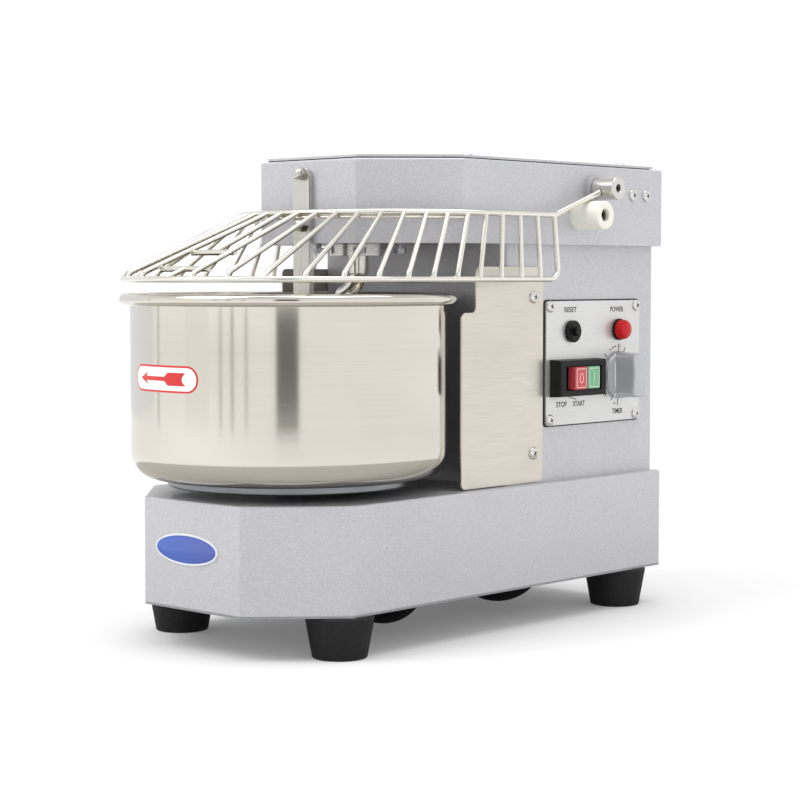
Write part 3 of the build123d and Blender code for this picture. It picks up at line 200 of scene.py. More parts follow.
def both_sides(line, thickness):
    """A closed outline round a line, half the thickness away on each side."""
    left, right = [], []
    for index, point in enumerate(line):
        before = Vector(line[max(index - 1, 0)])
        after = Vector(line[min(index + 1, len(line) - 1)])
        along = (after - before).normalized()
        across = Vector((-along.y, along.x)) * thickness / 2
        left.append(Vector(point) + across)
        right.append(Vector(point) - across)
    return left + right[::-1]


def lathe(outline, steps=160, closed=True):
    """A shape spun about the Z axis from (radius, height) points."""
    shape = bmesh.new()
    rings = []
    for step in range(steps):
        turn = 2 * math.pi * step / steps
        rings.append([shape.verts.new((r * math.cos(turn), r * math.sin(turn), z)) for r, z in outline])
    spans = len(outline) if closed else len(outline) - 1
    for step in range(steps):
        here, there = rings[step], rings[(step + 1) % steps]
        for index in range(spans):
            following = (index + 1) % len(outline)
            shape.faces.new((here[index], there[index], there[following], here[following]))
    bmesh.ops.remove_doubles(shape, verts=shape.verts, dist=1e-7)
    return shape


def to_mesh(name, shape, place=None, sharp=32):
    """Turns a bmesh into a plain mesh with outward faces, smooth but for its sharp edges."""
    bmesh.ops.recalc_face_normals(shape, faces=shape.faces)
    if place is not None:
        shape.transform(place)
    mesh = bpy.data.meshes.new(name)
    shape.to_mesh(mesh)
    shape.free()
    mesh.shade_smooth()
    mesh.set_sharp_from_angle(angle=math.radians(sharp))
    return mesh


def piece(name, mesh, material, body, slot, *stands_for):
    """Puts a finished mesh in the scene as a piece that rides on a body."""
    made = bpy.data.objects.new(name, mesh)
    scene.collection.objects.link(made)
    mesh.materials.clear()
    mesh.materials.append(material)
    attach(made, body)
    if stands_for:
        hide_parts(*stands_for)
    return made


wall = BOWL_R - BOWL_SHEET / 2
floor_z = BOWL_BASE_Z + BOWL_SHEET / 2
corner = BOWL_CORNER_R - BOWL_SHEET / 2
roll = (BOWL_RIM_R - BOWL_SHEET / 2 - wall) / 2
bowl_line = [(radius, floor_z) for radius in FLOOR_RADII]
bowl_line += arc((wall - corner, floor_z + corner), corner, -90, 0, 14)
bowl_line += [(wall, floor_z + corner + 0.03), (wall, BOWL_RIM_Z - 0.04)]
bowl_line += arc((wall + roll, BOWL_RIM_Z), roll, 180, -75, 18)
polished_steel = finish("polished_steel", (220, 215, 205), (211, 206, 196), (6, 6, 2600), 0.08, 0.15,
                        bump=0.000004, clouding=0.5, Metallic=1.0)
at_bowl = Matrix.Translation((BOWL_AXIS.x, BOWL_AXIS.y, 0))
piece("spun_bowl", to_mesh("spun_bowl", lathe(both_sides(bowl_line, BOWL_SHEET)), at_bowl), polished_steel,
      "bowl_unit", "polished_stainless", "bowl")
turned_steel = finish("turned_steel", (150, 152, 156), (120, 122, 127), (40, 40, 3000), 0.25, 0.4,
                      bump=0.00002, Metallic=1.0)
coat(turned_steel, "turntable")


# ---- Turning-direction label ----------------------------------------------------------------------
# Printed vinyl film stuck round the bowl wall: a white field, a red border and a feathered red arrow.
LABEL_TURN = math.radians(-94.6)
LABEL_Z = 0.2230
LABEL_HALF = 0.0413
LABEL_HIGH = 0.0108
BORDER = 0.0016
FILM = 0.0001
BEND_STEP = 0.002


def stadium(half_width, half_height):
    """Outline of a slot shape with round ends."""
    straight = half_width - half_height
    return arc((straight, 0), half_height, -90, 90, 20) + arc((-straight, 0), half_height, 90, 270, 20)


def wrapped(outline, low, high):
    """A thin plate of that outline, bent round the bowl wall between two heights over it."""
    shape = bmesh.new()
    face = shape.faces.new([shape.verts.new((u, v, 0)) for u, v in outline])
    least = min(u for u, v in outline)
    most = max(u for u, v in outline)
    for step in range(1, int((most - least) / BEND_STEP) + 1):
        bmesh.ops.bisect_plane(shape, geom=shape.verts[:] + shape.edges[:] + shape.faces[:],
                               plane_co=(least + step * BEND_STEP, 0, 0), plane_no=(1, 0, 0))
    raised = bmesh.ops.extrude_face_region(shape, geom=shape.faces[:])["geom"]
    top = {vert for vert in raised if isinstance(vert, bmesh.types.BMVert)}
    for vert in shape.verts:
        turn = LABEL_TURN + vert.co.x / BOWL_R
        radius = BOWL_R + (high if vert in top else low)
        vert.co = (BOWL_AXIS.x + radius * math.cos(turn), BOWL_AXIS.y + radius * math.sin(turn),
                   LABEL_Z + vert.co.y)
    bmesh.ops.triangulate(shape, faces=[face for face in shape.faces if len(face.verts) > 4])
    return shape


ARROW_TOP = [(-0.0308, 0), (-0.0183, 0.0051), (-0.0211, 0.0017), (0.0047, 0.0017), (0.0089, 0.0052),
             (0.0286, 0.0052)]
ARROW_NOTCH = (0.0238, 0)
arrow = ARROW_TOP + [ARROW_NOTCH] + [(u, -v) for u, v in reversed(ARROW_TOP[1:])]
red_print = finish("red_print", (214, 44, 40), (200, 36, 34), (300, 300, 300), 0.32, 0.42)
white_print = finish("white_print", (250, 249, 247), (243, 242, 240), (300, 300, 300), 0.32, 0.42)
border_shape = wrapped(stadium(LABEL_HALF, LABEL_HIGH), 0.2 * FILM, 2 * FILM)
piece("label_border", to_mesh("label_border", border_shape), red_print, "bowl_unit", "label_film",
      "rotation_label")
field_shape = wrapped(stadium(LABEL_HALF - BORDER, LABEL_HIGH - BORDER), FILM, 3 * FILM)
piece("label_field", to_mesh("label_field", field_shape), white_print, "bowl_unit", "label_film")
arrow_shape = wrapped(arrow, 2 * FILM, 4 * FILM)
piece("label_arrow", to_mesh("label_arrow", arrow_shape), red_print, "bowl_unit", "label_film")


# ---- Spiral hook ----------------------------------------------------------------------------------
# Round stainless bar, coiled to a turn and a quarter and polished, welded under its bearing shaft.
# A geometry tree rounds the path's corners, sweeps the bar along it and domes its free ends.
HOOK_Y = -0.035
HOOK_TOP_Z = 0.292
HOOK_FOOT_Z = 0.158
HOOK_TURNS = 1.25
HOOK_START = 200
HOOK_SWING_R = 0.032
HOOK_STEPS = 56
HOOK_BAR_R = 0.007
HOOK_STUB = (0.022, 0.006)
REACH_START = 0.55
REACH_GAIN = 2.4
REACH_END = 1.06
REACH_LOSS = 3.0
SHAFT_R = 0.0085
SHAFT_TOP_Z = 0.386
SHAFT_FOOT_Z = 0.306
SHAFT_BEVEL = 0.001


def bent_wire_tree():
    """Geometry tree: edges in, round bars out, with bent corners and domed or flat ends."""
    tree, given, result = new_group(
        "GeometryNodeTree",
        "bent_wire",
        [("Geometry", "Geometry"), ("Radius", "Float"), ("Bend", "Float"), ("Step", "Float"),
         ("Sides", "Int"), ("Domed", "Float"), ("Material", "Material")],
        [("Geometry", "Geometry")],
    )
    path = put(tree, "GeometryNodeMeshToCurve", {"Mesh": given.outputs["Geometry"]})
    bent = put(tree, "GeometryNodeFilletCurve",
               {"Curve": path.outputs[0], "Count": 6, "Radius": given.outputs["Bend"],
                "Limit Radius": True},
               mode="POLY")
    even = put(tree, "GeometryNodeResampleCurve",
               {"Curve": bent.outputs[0], "Length": given.outputs["Step"]}, mode="LENGTH")
    along = put(tree, "GeometryNodeSplineParameter").outputs["Length"]
    total = put(tree, "GeometryNodeSplineLength").outputs["Length"]
    ahead = put(tree, "ShaderNodeMath", {0: total, 1: along}, operation="SUBTRACT")
    nearest = put(tree, "ShaderNodeMath", {0: along, 1: ahead.outputs[0]}, operation="MINIMUM")
    share = put(tree, "ShaderNodeMath", {0: nearest.outputs[0], 1: given.outputs["Radius"]},
                operation="DIVIDE", use_clamp=True)
    short = put(tree, "ShaderNodeMath", {0: 1.0, 1: share.outputs[0]}, operation="SUBTRACT")
    square = put(tree, "ShaderNodeMath", {0: short.outputs[0], 1: 2.0}, operation="POWER")
    rest = put(tree, "ShaderNodeMath", {0: 1.0, 1: square.outputs[0]}, operation="SUBTRACT")
    dome = put(tree, "ShaderNodeMath", {0: rest.outputs[0]}, operation="SQRT")
    thick = put(tree, "ShaderNodeMix",
                {0: given.outputs["Domed"], 2: 1.0, 3: dome.outputs[0]}, data_type="FLOAT")
    ring = put(tree, "GeometryNodeCurvePrimitiveCircle",
               {"Resolution": given.outputs["Sides"], "Radius": given.outputs["Radius"]})
    bar = put(tree, "GeometryNodeCurveToMesh",
              {"Curve": even.outputs[0], "Profile Curve": ring.outputs[0], "Scale": thick.outputs[0],
               "Fill Caps": True})
    whole = put(tree, "GeometryNodeRealizeInstances", {0: bar.outputs[0]})
    finished = put(tree, "GeometryNodeSetMaterial",
                   {"Geometry": whole.outputs[0], "Material": given.outputs["Material"]})
    tree.links.new(finished.outputs[0], result.inputs[0])
    return tree


bent_wire = bent_wire_tree()


def grown(guide, tree, **inputs):
    """Runs a geometry tree on a guide mesh and returns the plain mesh that it makes, as a bmesh."""
    holder = bpy.data.objects.new("guide", guide)
    scene.collection.objects.link(holder)
    modifier = holder.modifiers.new("grow", "NODES")
    modifier.node_group = tree
    for item in tree.interface.items_tree:
        if item.in_out == "INPUT" and item.name in inputs:
            modifier[item.identifier] = inputs[item.name]
    evaluated = holder.evaluated_get(bpy.context.evaluated_depsgraph_get())
    mesh = bpy.data.meshes.new_from_object(evaluated)
    shape = bmesh.new()
    shape.from_mesh(mesh)
    bpy.data.objects.remove(holder)
    bpy.data.meshes.remove(mesh)
    return shape


def lines(*paths):
    """A mesh of loose edges that follow each path's points."""
    guide = bpy.data.meshes.new("guide")
    points = [point for path in paths for point in path]
    edges = []
    start = 0
    for path in paths:
        edges += [(start + index, start + index + 1) for index in range(len(path) - 1)]
        start += len(path)
    guide.from_pydata(points, edges, [])
    return guide


def joined(*shapes):
    """One bmesh from several."""
    whole = bmesh.new()
    for shape in shapes:
        part = bpy.data.meshes.new("part")
        shape.to_mesh(part)
        shape.free()
        whole.from_mesh(part)
        bpy.data.meshes.remove(part)
    return whole


hook_path = [(0, HOOK_Y, HOOK_TOP_Z + rise) for rise in HOOK_STUB]
for step in range(2, HOOK_STEPS + 1):
    part_way = step / HOOK_STEPS
    reach = HOOK_SWING_R * min(1.0, REACH_START + REACH_GAIN * part_way,
                               (REACH_END - part_way) * REACH_LOSS)
    turn = math.radians(HOOK_START - 360 * HOOK_TURNS * part_way)
    height = HOOK_TOP_Z + (HOOK_FOOT_Z - HOOK_TOP_Z) * part_way
    hook_path.append((reach * math.cos(turn), HOOK_Y + reach * math.sin(turn), height))
bar_steel = finish("bar_steel", (232, 229, 223), (214, 211, 205), (500, 500, 500), 0.12, 0.24,
                   bump=0.00001, Metallic=1.0)
hook_bar = grown(lines(hook_path), bent_wire, Radius=HOOK_BAR_R, Bend=0.02, Step=0.0015, Sides=28,
                 Domed=1.0, Material=bar_steel)
shaft_neck = SHAFT_R - SHAFT_BEVEL
shaft = lathe([(0, SHAFT_TOP_Z), (shaft_neck, SHAFT_TOP_Z), (SHAFT_R, SHAFT_TOP_Z - SHAFT_BEVEL),
               (SHAFT_R, SHAFT_FOOT_Z + SHAFT_BEVEL), (shaft_neck, SHAFT_FOOT_Z), (0, SHAFT_FOOT_Z)],
              40, closed=False)
shaft.transform(Matrix.Translation((0, HOOK_Y, 0)))
piece("dough_hook", to_mesh("dough_hook", joined(hook_bar, shaft)), bar_steel, "spiral_unit",
      "polished_stainless", "spiral_hook")


# ---- Wire guard -----------------------------------------------------------------------------------
# Welded and polished stainless wire: a lower ring whose ends rise to the hinge arms, an upper ring,
# 27 spokes with short upright feet, a thin wire under the upper ring, and a filling gap at the front.
WIRE_R = 0.0026
RISER_R = 0.0025
SPOKE_R = 0.0022
CROSS_R = 0.00235
COMPANION_R = 0.0014
COMPANION_DROP = 0.0041
COMPANION_START = 18
WIRE_STEP = 0.003
LOW_RING = (0.137, -0.120, 0.302)
HIGH_RING = (0.132, 0.0054, 0.357)
POST_Y = 0.070
ARM_END = (0.135, 0.1319, 0.3788)
SPOKES = 14
STRAIGHT_LOW = 7
STRAIGHT_HIGH = 3
LOW_PITCH = 0.024
LOW_PITCH_GAIN = 0.00045
HIGH_PITCH = 0.023
HIGH_START = 2
FILL_LOW = 0.15
FILL_HIGH = 0.39
FOOT_RISE = 0.0045
RING_STEPS = 60


def low_point(index):
    """Foot of a spoke on the lower ring, right side."""
    radius, centre_y, height = LOW_RING
    if index <= STRAIGHT_LOW:
        return Vector((radius, POST_Y - LOW_PITCH * index - LOW_PITCH_GAIN * index ** 2, height))
    turn = math.radians(90 * (index - STRAIGHT_LOW) / (SPOKES - STRAIGHT_LOW))
    return Vector((radius * math.cos(turn), centre_y - radius * math.sin(turn), height))


def high_point(index):
    """Head of a spoke on the upper ring, right side."""
    radius, centre_y, height = HIGH_RING
    if index <= STRAIGHT_HIGH:
        return Vector((radius, POST_Y - HIGH_PITCH * index, height))
    share = (index - STRAIGHT_HIGH) / (SPOKES - STRAIGHT_HIGH)
    turn = math.radians(HIGH_START + (90 - HIGH_START) * share)
    return Vector((radius * math.cos(turn), centre_y - radius * math.sin(turn), height))


def across(point):
    """The same point on the left side."""
    return Vector((-point[0], point[1], point[2]))


def half_round(radius, centre_y, height, start=0):
    """Points round the bowl end from right to left."""
    span = 180 - 2 * start
    turns = [math.radians(start + span * step / RING_STEPS) for step in range(RING_STEPS + 1)]
    return [Vector((radius * math.cos(turn), centre_y - radius * math.sin(turn), height)) for turn in turns]


low_corner = Vector((LOW_RING[0], POST_Y, LOW_RING[2]))
low_path = [high_point(0), low_corner, *half_round(*LOW_RING), across(low_corner), across(high_point(0))]
high_path = [Vector(ARM_END), high_point(0), *half_round(*HIGH_RING), across(high_point(0)),
             across(ARM_END)]
spokes = []
for index in range(1, SPOKES):
    foot, head = low_point(index), high_point(index)
    knee = foot + Vector((0, 0, FOOT_RISE))
    spokes += [[foot, knee, head], [across(foot), across(knee), across(head)]]
edge_foot, edge_head = low_point(SPOKES - 1), high_point(SPOKES - 1)
low_bar = edge_foot.lerp(edge_head, FILL_LOW)
high_bar = edge_foot.lerp(edge_head, FILL_HIGH)
spokes.append([low_point(SPOKES), Vector((0, low_bar.y, low_bar.z))])
spokes.append([Vector((0, high_bar.y, high_bar.z)), high_point(SPOKES)])
companion = half_round(HIGH_RING[0], HIGH_RING[1], HIGH_RING[2] - COMPANION_DROP, COMPANION_START)
bright_wire = finish("bright_wire", (240, 237, 229), (226, 223, 214), (900, 900, 900), 0.14, 0.26,
                     bump=0.000012, Metallic=1.0)
guard_wires = [
    grown(lines(*paths), bent_wire, Radius=radius, Bend=bend, Step=step, Sides=14, Domed=0.0,
          Material=bright_wire)
    for paths, radius, bend, step in (
        ([high_path], WIRE_R, 0.025, WIRE_STEP),
        ([low_path], RISER_R, 0.010, WIRE_STEP),
        (spokes, SPOKE_R, 0.006, WIRE_STEP),
        ([[low_bar, across(low_bar)], [high_bar, across(high_bar)]], CROSS_R, 0.0, 0.01),
        ([companion], COMPANION_R, 0.0, WIRE_STEP),
    )
]
piece("wire_guard", to_mesh("wire_guard", joined(*guard_wires)), bright_wire, "guard_unit", "chrome_wire",
      "safety_grid")


# ---- Hinge and stops ------------------------------------------------------------------------------
# Turned stainless hubs pinned in steel bushes, each with a hex-socket set screw.
# Two white nylon bumpers, screwed on below them, hold the closed guard.
hub_steel = finish("hub_steel", (222, 220, 216), (196, 195, 192), (60, 900, 900), 0.2, 0.34,
                   bump=0.00001, Metallic=1.0)
coat(hub_steel, "hinge_hubs")
bush_paint = finish("bush_paint", (196, 197, 201), (182, 183, 188), (600, 600, 600), 0.3, 0.45,
                    Metallic=0.6)
coat(bush_paint, "hinge_bushes")
nylon = finish("nylon", (240, 238, 228), (228, 226, 215), (350, 350, 350), 0.42, 0.56, bump=0.00003,
               Subsurface_Weight=0.15, Subsurface_Scale=0.004)
coat(nylon, "grid_stops")
dark_steel = finish("dark_steel", (92, 88, 84), (60, 57, 54), (900, 900, 900), 0.3, 0.5, Metallic=1.0)
coat(dark_steel, "stop_screws", "hub_screws")
black_plastic = finish("black_plastic", (18, 18, 20), (12, 12, 14), (900, 900, 900), 0.38, 0.52,
                       bump=0.00002, Specular_IOR_Level=0.25)
coat(black_plastic, "grid_microswitch")


# ---- Guard plates, breaker bar and shaft boss -----------------------------------------------------
# Brushed stainless sheet closes the column beside the bowl; a flat bar with two cap nuts hangs in it.
# The boss is a turned ring held under the head by four hexagon screws.
brushed_steel = finish("brushed_steel", (222, 216, 206), (206, 200, 191), (40, 40, 1800), 0.26, 0.4,
                       bump=0.00002, Metallic=0.85)
coat(brushed_steel, "right_guard_plate", "left_guard_plate")
bar_finish = finish("bar_finish", (216, 213, 207), (190, 187, 182), (1500, 1500, 30), 0.16, 0.3,
                    bump=0.00001, Metallic=1.0)
coat(bar_finish, "breaker_bar", "bar_cap_nuts")
zinc = finish("zinc", (188, 190, 194), (160, 162, 168), (700, 700, 700), 0.26, 0.42,
              bump=0.00002, Metallic=1.0)
coat(zinc, "boss_bolts", "foot_bolts", "base_bottom_plate")
coat(hub_steel, "spiral_bearing_housing")


# ---- Feet, under-base caps and cable gland --------------------------------------------------------
# Moulded black rubber feet stand under the four corners of the base.
# The two domed caps between them and the gland at the rear are black plastic.
rubber = finish("rubber", (30, 30, 31), (20, 20, 21), (450, 450, 450), 0.5, 0.68, bump=0.00006,
                Specular_IOR_Level=0.35)
coat(rubber, "foot_front_right", "foot_front_left", "foot_rear_right", "foot_rear_left")
coat(black_plastic, "bearing_cap", "tensioner_cap", "cable_gland")


# ---- Pan-head screws ------------------------------------------------------------------------------
# Polished stainless pan heads with a cross recess, holding the lid, covers, guard plates and panel.
# A geometry tree sets one screw at each place, facing out of the sheet.
HEAD_R = 0.0052
HEAD_HIGH = 0.0025
SLOT_LONG = 0.0030
SLOT_HALF = 0.0008
SHANK_R = 0.0018
SHANK_LONG = 0.0055
EDGE_HIGH = 0.0005
DOME_TURNS = (0.3, 0.6, 0.9, 1.2, 1.45)
SLOT_FLOOR = 0.1
SLOT_TAPER = 0.6
LID_SCREWS = ((-0.107, 0.107), (-0.015, 0.197))
COVER_SCREWS = ((-0.096, 0.096), (0.140, 0.228, 0.316))
FLANK_SCREWS = ((0.1992, 0.2198), 0.3778)
PLATE_SCREWS = (0.0692, (0.150, 0.2863))
PANEL_INSET = (0.0055, 0.00475)
SMALL_SIZE = 0.87
LARGE_SIZE = 1.06


def screw_template():
    """A pan-head screw facing +Z with its seat at the origin."""
    dome = [(0, HEAD_HIGH)] + [(HEAD_R * math.sin(turn), HEAD_HIGH * (0.25 + 0.75 * math.cos(turn)))
                               for turn in DOME_TURNS]
    below = [(HEAD_R, EDGE_HIGH), (HEAD_R * 0.98, 0), (SHANK_R, 0), (SHANK_R, -SHANK_LONG),
             (0, -SHANK_LONG)]
    head = lathe(dome + below, 28, closed=False)
    body = bpy.data.objects.new("screw", to_mesh("screw", head))
    cross = bmesh.new()
    arms = []
    for quarter in range(4):
        spin = Matrix.Rotation(quarter * math.pi / 2, 2)
        arms += [spin @ Vector(corner) for corner in ((SLOT_HALF, SLOT_HALF), (SLOT_HALF, SLOT_LONG),
                                                     (-SLOT_HALF, SLOT_LONG))]
    sunk = HEAD_HIGH * SLOT_FLOOR
    outline = sorted(arms, key=lambda point: math.atan2(point.y, point.x))
    low = cross.faces.new([cross.verts.new((*(point * SLOT_TAPER), sunk)) for point in outline])
    high = cross.faces.new([cross.verts.new((point.x, point.y, 2 * HEAD_HIGH)) for point in outline])
    bmesh.ops.bridge_loops(cross, edges=list(low.edges) + list(high.edges))
    cutter = bpy.data.objects.new("cross", to_mesh("cross", cross))
    for made in (body, cutter):
        scene.collection.objects.link(made)
    cut = body.modifiers.new("cut", "BOOLEAN")
    cut.object = cutter
    cut.operation = "DIFFERENCE"
    cut.solver = "EXACT"
    evaluated = body.evaluated_get(bpy.context.evaluated_depsgraph_get())
    body.data = bpy.data.meshes.new_from_object(evaluated)
    body.modifiers.clear()
    bpy.data.objects.remove(cutter)
    return body


def set_screws_tree():
    """Geometry tree: sets a screw on each point, along the point's facing and turned by its own angle."""
    tree, given, result = new_group(
        "GeometryNodeTree",
        "set_screws",
        [("Geometry", "Geometry"), ("Screw", "Object"), ("Seed", "Int"), ("Material", "Material")],
        [("Geometry", "Geometry")],
    )
    screw = put(tree, "GeometryNodeObjectInfo", {"Object": given.outputs["Screw"]})
    facing = put(tree, "GeometryNodeInputNamedAttribute", {"Name": "facing"}, data_type="FLOAT_VECTOR")
    size = put(tree, "GeometryNodeInputNamedAttribute", {"Name": "size"}, data_type="FLOAT")
    aimed = put(tree, "FunctionNodeAlignRotationToVector", {"Vector": facing.outputs[0]}, axis="Z")
    chance = put(tree, "FunctionNodeRandomValue",
                 {2: -0.7, 3: 0.7, "Seed": given.outputs["Seed"]}, data_type="FLOAT")
    twist = put(tree, "ShaderNodeCombineXYZ", {"Z": chance.outputs[1]})
    spin = put(tree, "FunctionNodeRotateRotation",
               {0: aimed.outputs[0], 1: twist.outputs[0]}, rotation_space="LOCAL")
    placed = put(tree, "GeometryNodeInstanceOnPoints",
                 {"Points": given.outputs["Geometry"], "Instance": screw.outputs["Geometry"],
                  "Rotation": spin.outputs[0], "Scale": size.outputs[0]})
    whole = put(tree, "GeometryNodeRealizeInstances", {0: placed.outputs[0]})
    finished = put(tree, "GeometryNodeSetMaterial",
                   {"Geometry": whole.outputs[0], "Material": given.outputs["Material"]})
    tree.links.new(finished.outputs[0], result.inputs[0])
    return tree


lid_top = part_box("head_lid")[1][2]
rear_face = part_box("rear_cover")[1][1]
flank_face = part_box("head_housing")[1][0]
plate_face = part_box("right_guard_plate")[1][0]
panel_low, panel_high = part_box("control_panel")
PANEL_FACE = panel_high[0]
screw_places = [((x, y, lid_top), (0, 0, 1), SMALL_SIZE) for x in LID_SCREWS[0] for y in LID_SCREWS[1]]
screw_places += [((x, rear_face, z), (0, 1, 0), SMALL_SIZE)
                 for x in COVER_SCREWS[0] for z in COVER_SCREWS[1]]
for side in (-1, 1):
    screw_places += [((side * flank_face, y, FLANK_SCREWS[1]), (side, 0, 0), LARGE_SIZE)
                     for y in FLANK_SCREWS[0]]
    screw_places += [((side * plate_face, PLATE_SCREWS[0], z), (side, 0, 0), LARGE_SIZE)
                     for z in PLATE_SCREWS[1]]
screw_places += [((PANEL_FACE, y, z), (1, 0, 0), 1.0)
                 for y in (panel_low[1] + PANEL_INSET[0], panel_high[1] - PANEL_INSET[0])
                 for z in (panel_low[2] + PANEL_INSET[1], panel_high[2] - PANEL_INSET[1])]
screw_guide = bpy.data.meshes.new("screw_places")
screw_guide.from_pydata([place for place, facing, size in screw_places], [], [])
screw_guide.attributes.new("facing", "FLOAT_VECTOR", "POINT")
screw_guide.attributes.new("size", "FLOAT", "POINT")
for index, (place, facing, size) in enumerate(screw_places):
    screw_guide.attributes["facing"].data[index].vector = facing
    screw_guide.attributes["size"].data[index].value = size
screw_steel = finish("screw_steel", (232, 231, 228), (208, 207, 204), (900, 900, 900), 0.14, 0.28,
                     Metallic=1.0)
template = screw_template()
screws = grown(screw_guide, set_screws_tree(), Screw=template, Seed=7, Material=screw_steel)
bpy.data.objects.remove(template)
piece("panel_and_cover_screws", to_mesh("panel_and_cover_screws", screws), screw_steel, "machine",
      "stainless", "pan_head_screws")


# ---- Control panel --------------------------------------------------------------------------------
# Brushed aluminium plate on a black gasket, screen-printed in black.
# It carries plain words, a line to the switch, and dial marks with numbers round the timer.
PRINT_HIGH = 0.00006
INK_SPREAD = 0.018
plate_metal = finish("plate_metal", (222, 222, 220), (209, 209, 208), (60, 60, 2200), 0.3, 0.42,
                     bump=0.00001, Metallic=0.7)
coat(plate_metal, "control_panel")
coat(lid_rubber, "panel_gasket")
ink = finish("ink", (34, 34, 36), (24, 24, 26), (900, 900, 900), 0.5, 0.6)
red_ink = finish("red_ink", (190, 60, 56), (176, 50, 48), (900, 900, 900), 0.5, 0.6)


def print_word(word, centre_y, centre_z, width, height):
    """A printed word on the panel, as a bmesh stretched to its width and height."""
    letters = bpy.data.curves.new(word, "FONT")
    letters.body = word
    letters.extrude = 0.5
    letters.offset = INK_SPREAD
    holder = bpy.data.objects.new(word, letters)
    scene.collection.objects.link(holder)
    flat = bpy.data.meshes.new_from_object(holder.evaluated_get(bpy.context.evaluated_depsgraph_get()))
    bpy.data.objects.remove(holder)
    shape = bmesh.new()
    shape.from_mesh(flat)
    bmesh.ops.remove_doubles(shape, verts=shape.verts, dist=1e-5)
    low = Vector([min(vert.co[axis] for vert in shape.verts) for axis in range(3)])
    high = Vector([max(vert.co[axis] for vert in shape.verts) for axis in range(3)])
    for vert in shape.verts:
        across_word, up_word = ((vert.co[axis] - low[axis]) / (high[axis] - low[axis]) - 0.5
                                for axis in (0, 1))
        depth = PRINT_HIGH if vert.co.z > 0 else -PRINT_HIGH
        vert.co = (PANEL_FACE + depth, centre_y + across_word * width, centre_z + up_word * height)
    return shape


CAP_HIGH = 0.0047
WORDS = (("RESET", 0.1196, 0.2748, 0.0175), ("POWER", 0.1877, 0.2745, 0.0195),
         ("STOP", 0.1073, 0.1911, 0.0150), ("START", 0.1325, 0.1909, 0.0170),
         ("TIMER", 0.1895, 0.1816, 0.0160))
words = [print_word(word, centre_y, centre_z, width, CAP_HIGH) for word, centre_y, centre_z, width in WORDS]
piece("panel_words", to_mesh("panel_words", joined(*words)), ink, "machine", "panel_metal")

TIMER_Y = 0.1908
TIMER_Z = 0.2146
DIAL_TICKS = [(0, 0.0207, 0.0283), (21, 0.0222, 0.0262), (-47, 0.0207, 0.029), (-90, 0.0222, 0.0262),
              (-132.6, 0.0236, 0.0282), (-155, 0.0208, 0.0254), (-177.5, 0.0217, 0.0277)]
SWITCH_LINE = ((0.1165, 0.1977), (0.1285, 0.1947))
TICK_R = 0.00035
DIAL_NUMBERS = (("30", -28), ("20", -19.5), ("10", -11), ("60", -167))
NUMBER_RADIUS = 0.0264
NUMBER_SIZE = (0.0026, 0.0019)
ZERO_PLACE = (4.5, 0.0262)
ZERO_SIZE = (0.0014, 0.0024)


def dial_place(turn, radius, lift=0.0):
    """A place on the panel at an angle from upright round the timer."""
    angle = math.radians(turn)
    return Vector((PANEL_FACE + lift, TIMER_Y + radius * math.sin(angle),
                   TIMER_Z + radius * math.cos(angle)))


ticks = [[dial_place(turn, inner), dial_place(turn, outer)] for turn, inner, outer in DIAL_TICKS]
ticks.append([Vector((PANEL_FACE, *end)) for end in SWITCH_LINE])
tick_marks = grown(lines(*ticks), bent_wire, Radius=TICK_R, Bend=0.0, Step=0.002, Sides=8, Domed=0.0,
                   Material=ink)
numbers = []
for number, turn in DIAL_NUMBERS:
    spot = dial_place(turn, NUMBER_RADIUS)
    numbers.append(print_word(number, spot.y, spot.z, *NUMBER_SIZE))
piece("dial_marks", to_mesh("dial_marks", joined(tick_marks, *numbers)), ink, "machine", "panel_metal")
zero_spot = dial_place(*ZERO_PLACE)
piece("dial_zero", to_mesh("dial_zero", print_word("0", zero_spot.y, zero_spot.z, *ZERO_SIZE)), red_ink,
      "machine", "panel_metal")


# ---- Switch ---------------------------------------------------------------------------------------
# Black moulded frame with two push keys, red for stop and green for start.
# Each key carries a pale printed outline with a plain ring or bar inside it.
coat(black_plastic, "switch_housing")
red_key = finish("red_key", (196, 74, 82), (186, 66, 74), (400, 400, 400), 0.3, 0.42,
                 Coat_Weight=0.2)
green_key = finish("green_key", (112, 178, 136), (102, 168, 126), (400, 400, 400), 0.3, 0.42,
                   Coat_Weight=0.2)
coat(red_key, "stop_button")
coat(green_key, "start_button")
key_print = finish("key_print", (244, 224, 220), (236, 216, 212), (900, 900, 900), 0.4, 0.5)
OUTLINE_INSET = 0.0018
MARK_R = 0.0003
RING_HALF = (0.0024, 0.0042)
RING_SIDES = 24
BAR_HALF = 0.0045


def key_marks(node, sign):
    """Pale outline and sign printed on a key's face."""
    low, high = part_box(node)
    face = high[0]
    middle = Vector((face, (low[1] + high[1]) / 2, (low[2] + high[2]) / 2))
    half_y = (high[1] - low[1]) / 2 - OUTLINE_INSET
    half_z = (high[2] - low[2]) / 2 - OUTLINE_INSET
    frame_path = [middle + Vector((0, y * half_y, z * half_z))
                  for y, z in ((0, -1), (1, -1), (1, 1), (-1, 1), (-1, -1), (0, -1))]
    marks = [frame_path]
    if sign == "ring":
        turns = [2 * math.pi * step / RING_SIDES for step in range(RING_SIDES + 1)]
        marks.append([middle + Vector((0, RING_HALF[0] * math.cos(turn), RING_HALF[1] * math.sin(turn)))
                      for turn in turns])
    else:
        marks.append([middle + Vector((0, 0, height)) for height in (-BAR_HALF, BAR_HALF)])
    return grown(lines(*marks), bent_wire, Radius=MARK_R, Bend=0.0012, Step=0.001, Sides=8, Domed=0.0,
                 Material=key_print)


stop_signs = to_mesh("stop_marks", key_marks("stop_button", "ring"))
piece("stop_marks", stop_signs, key_print, "stop_key", "red_plastic")
start_signs = to_mesh("start_marks", key_marks("start_button", "bar"))
piece("start_marks", start_signs, key_print, "start_key", "green_plastic")


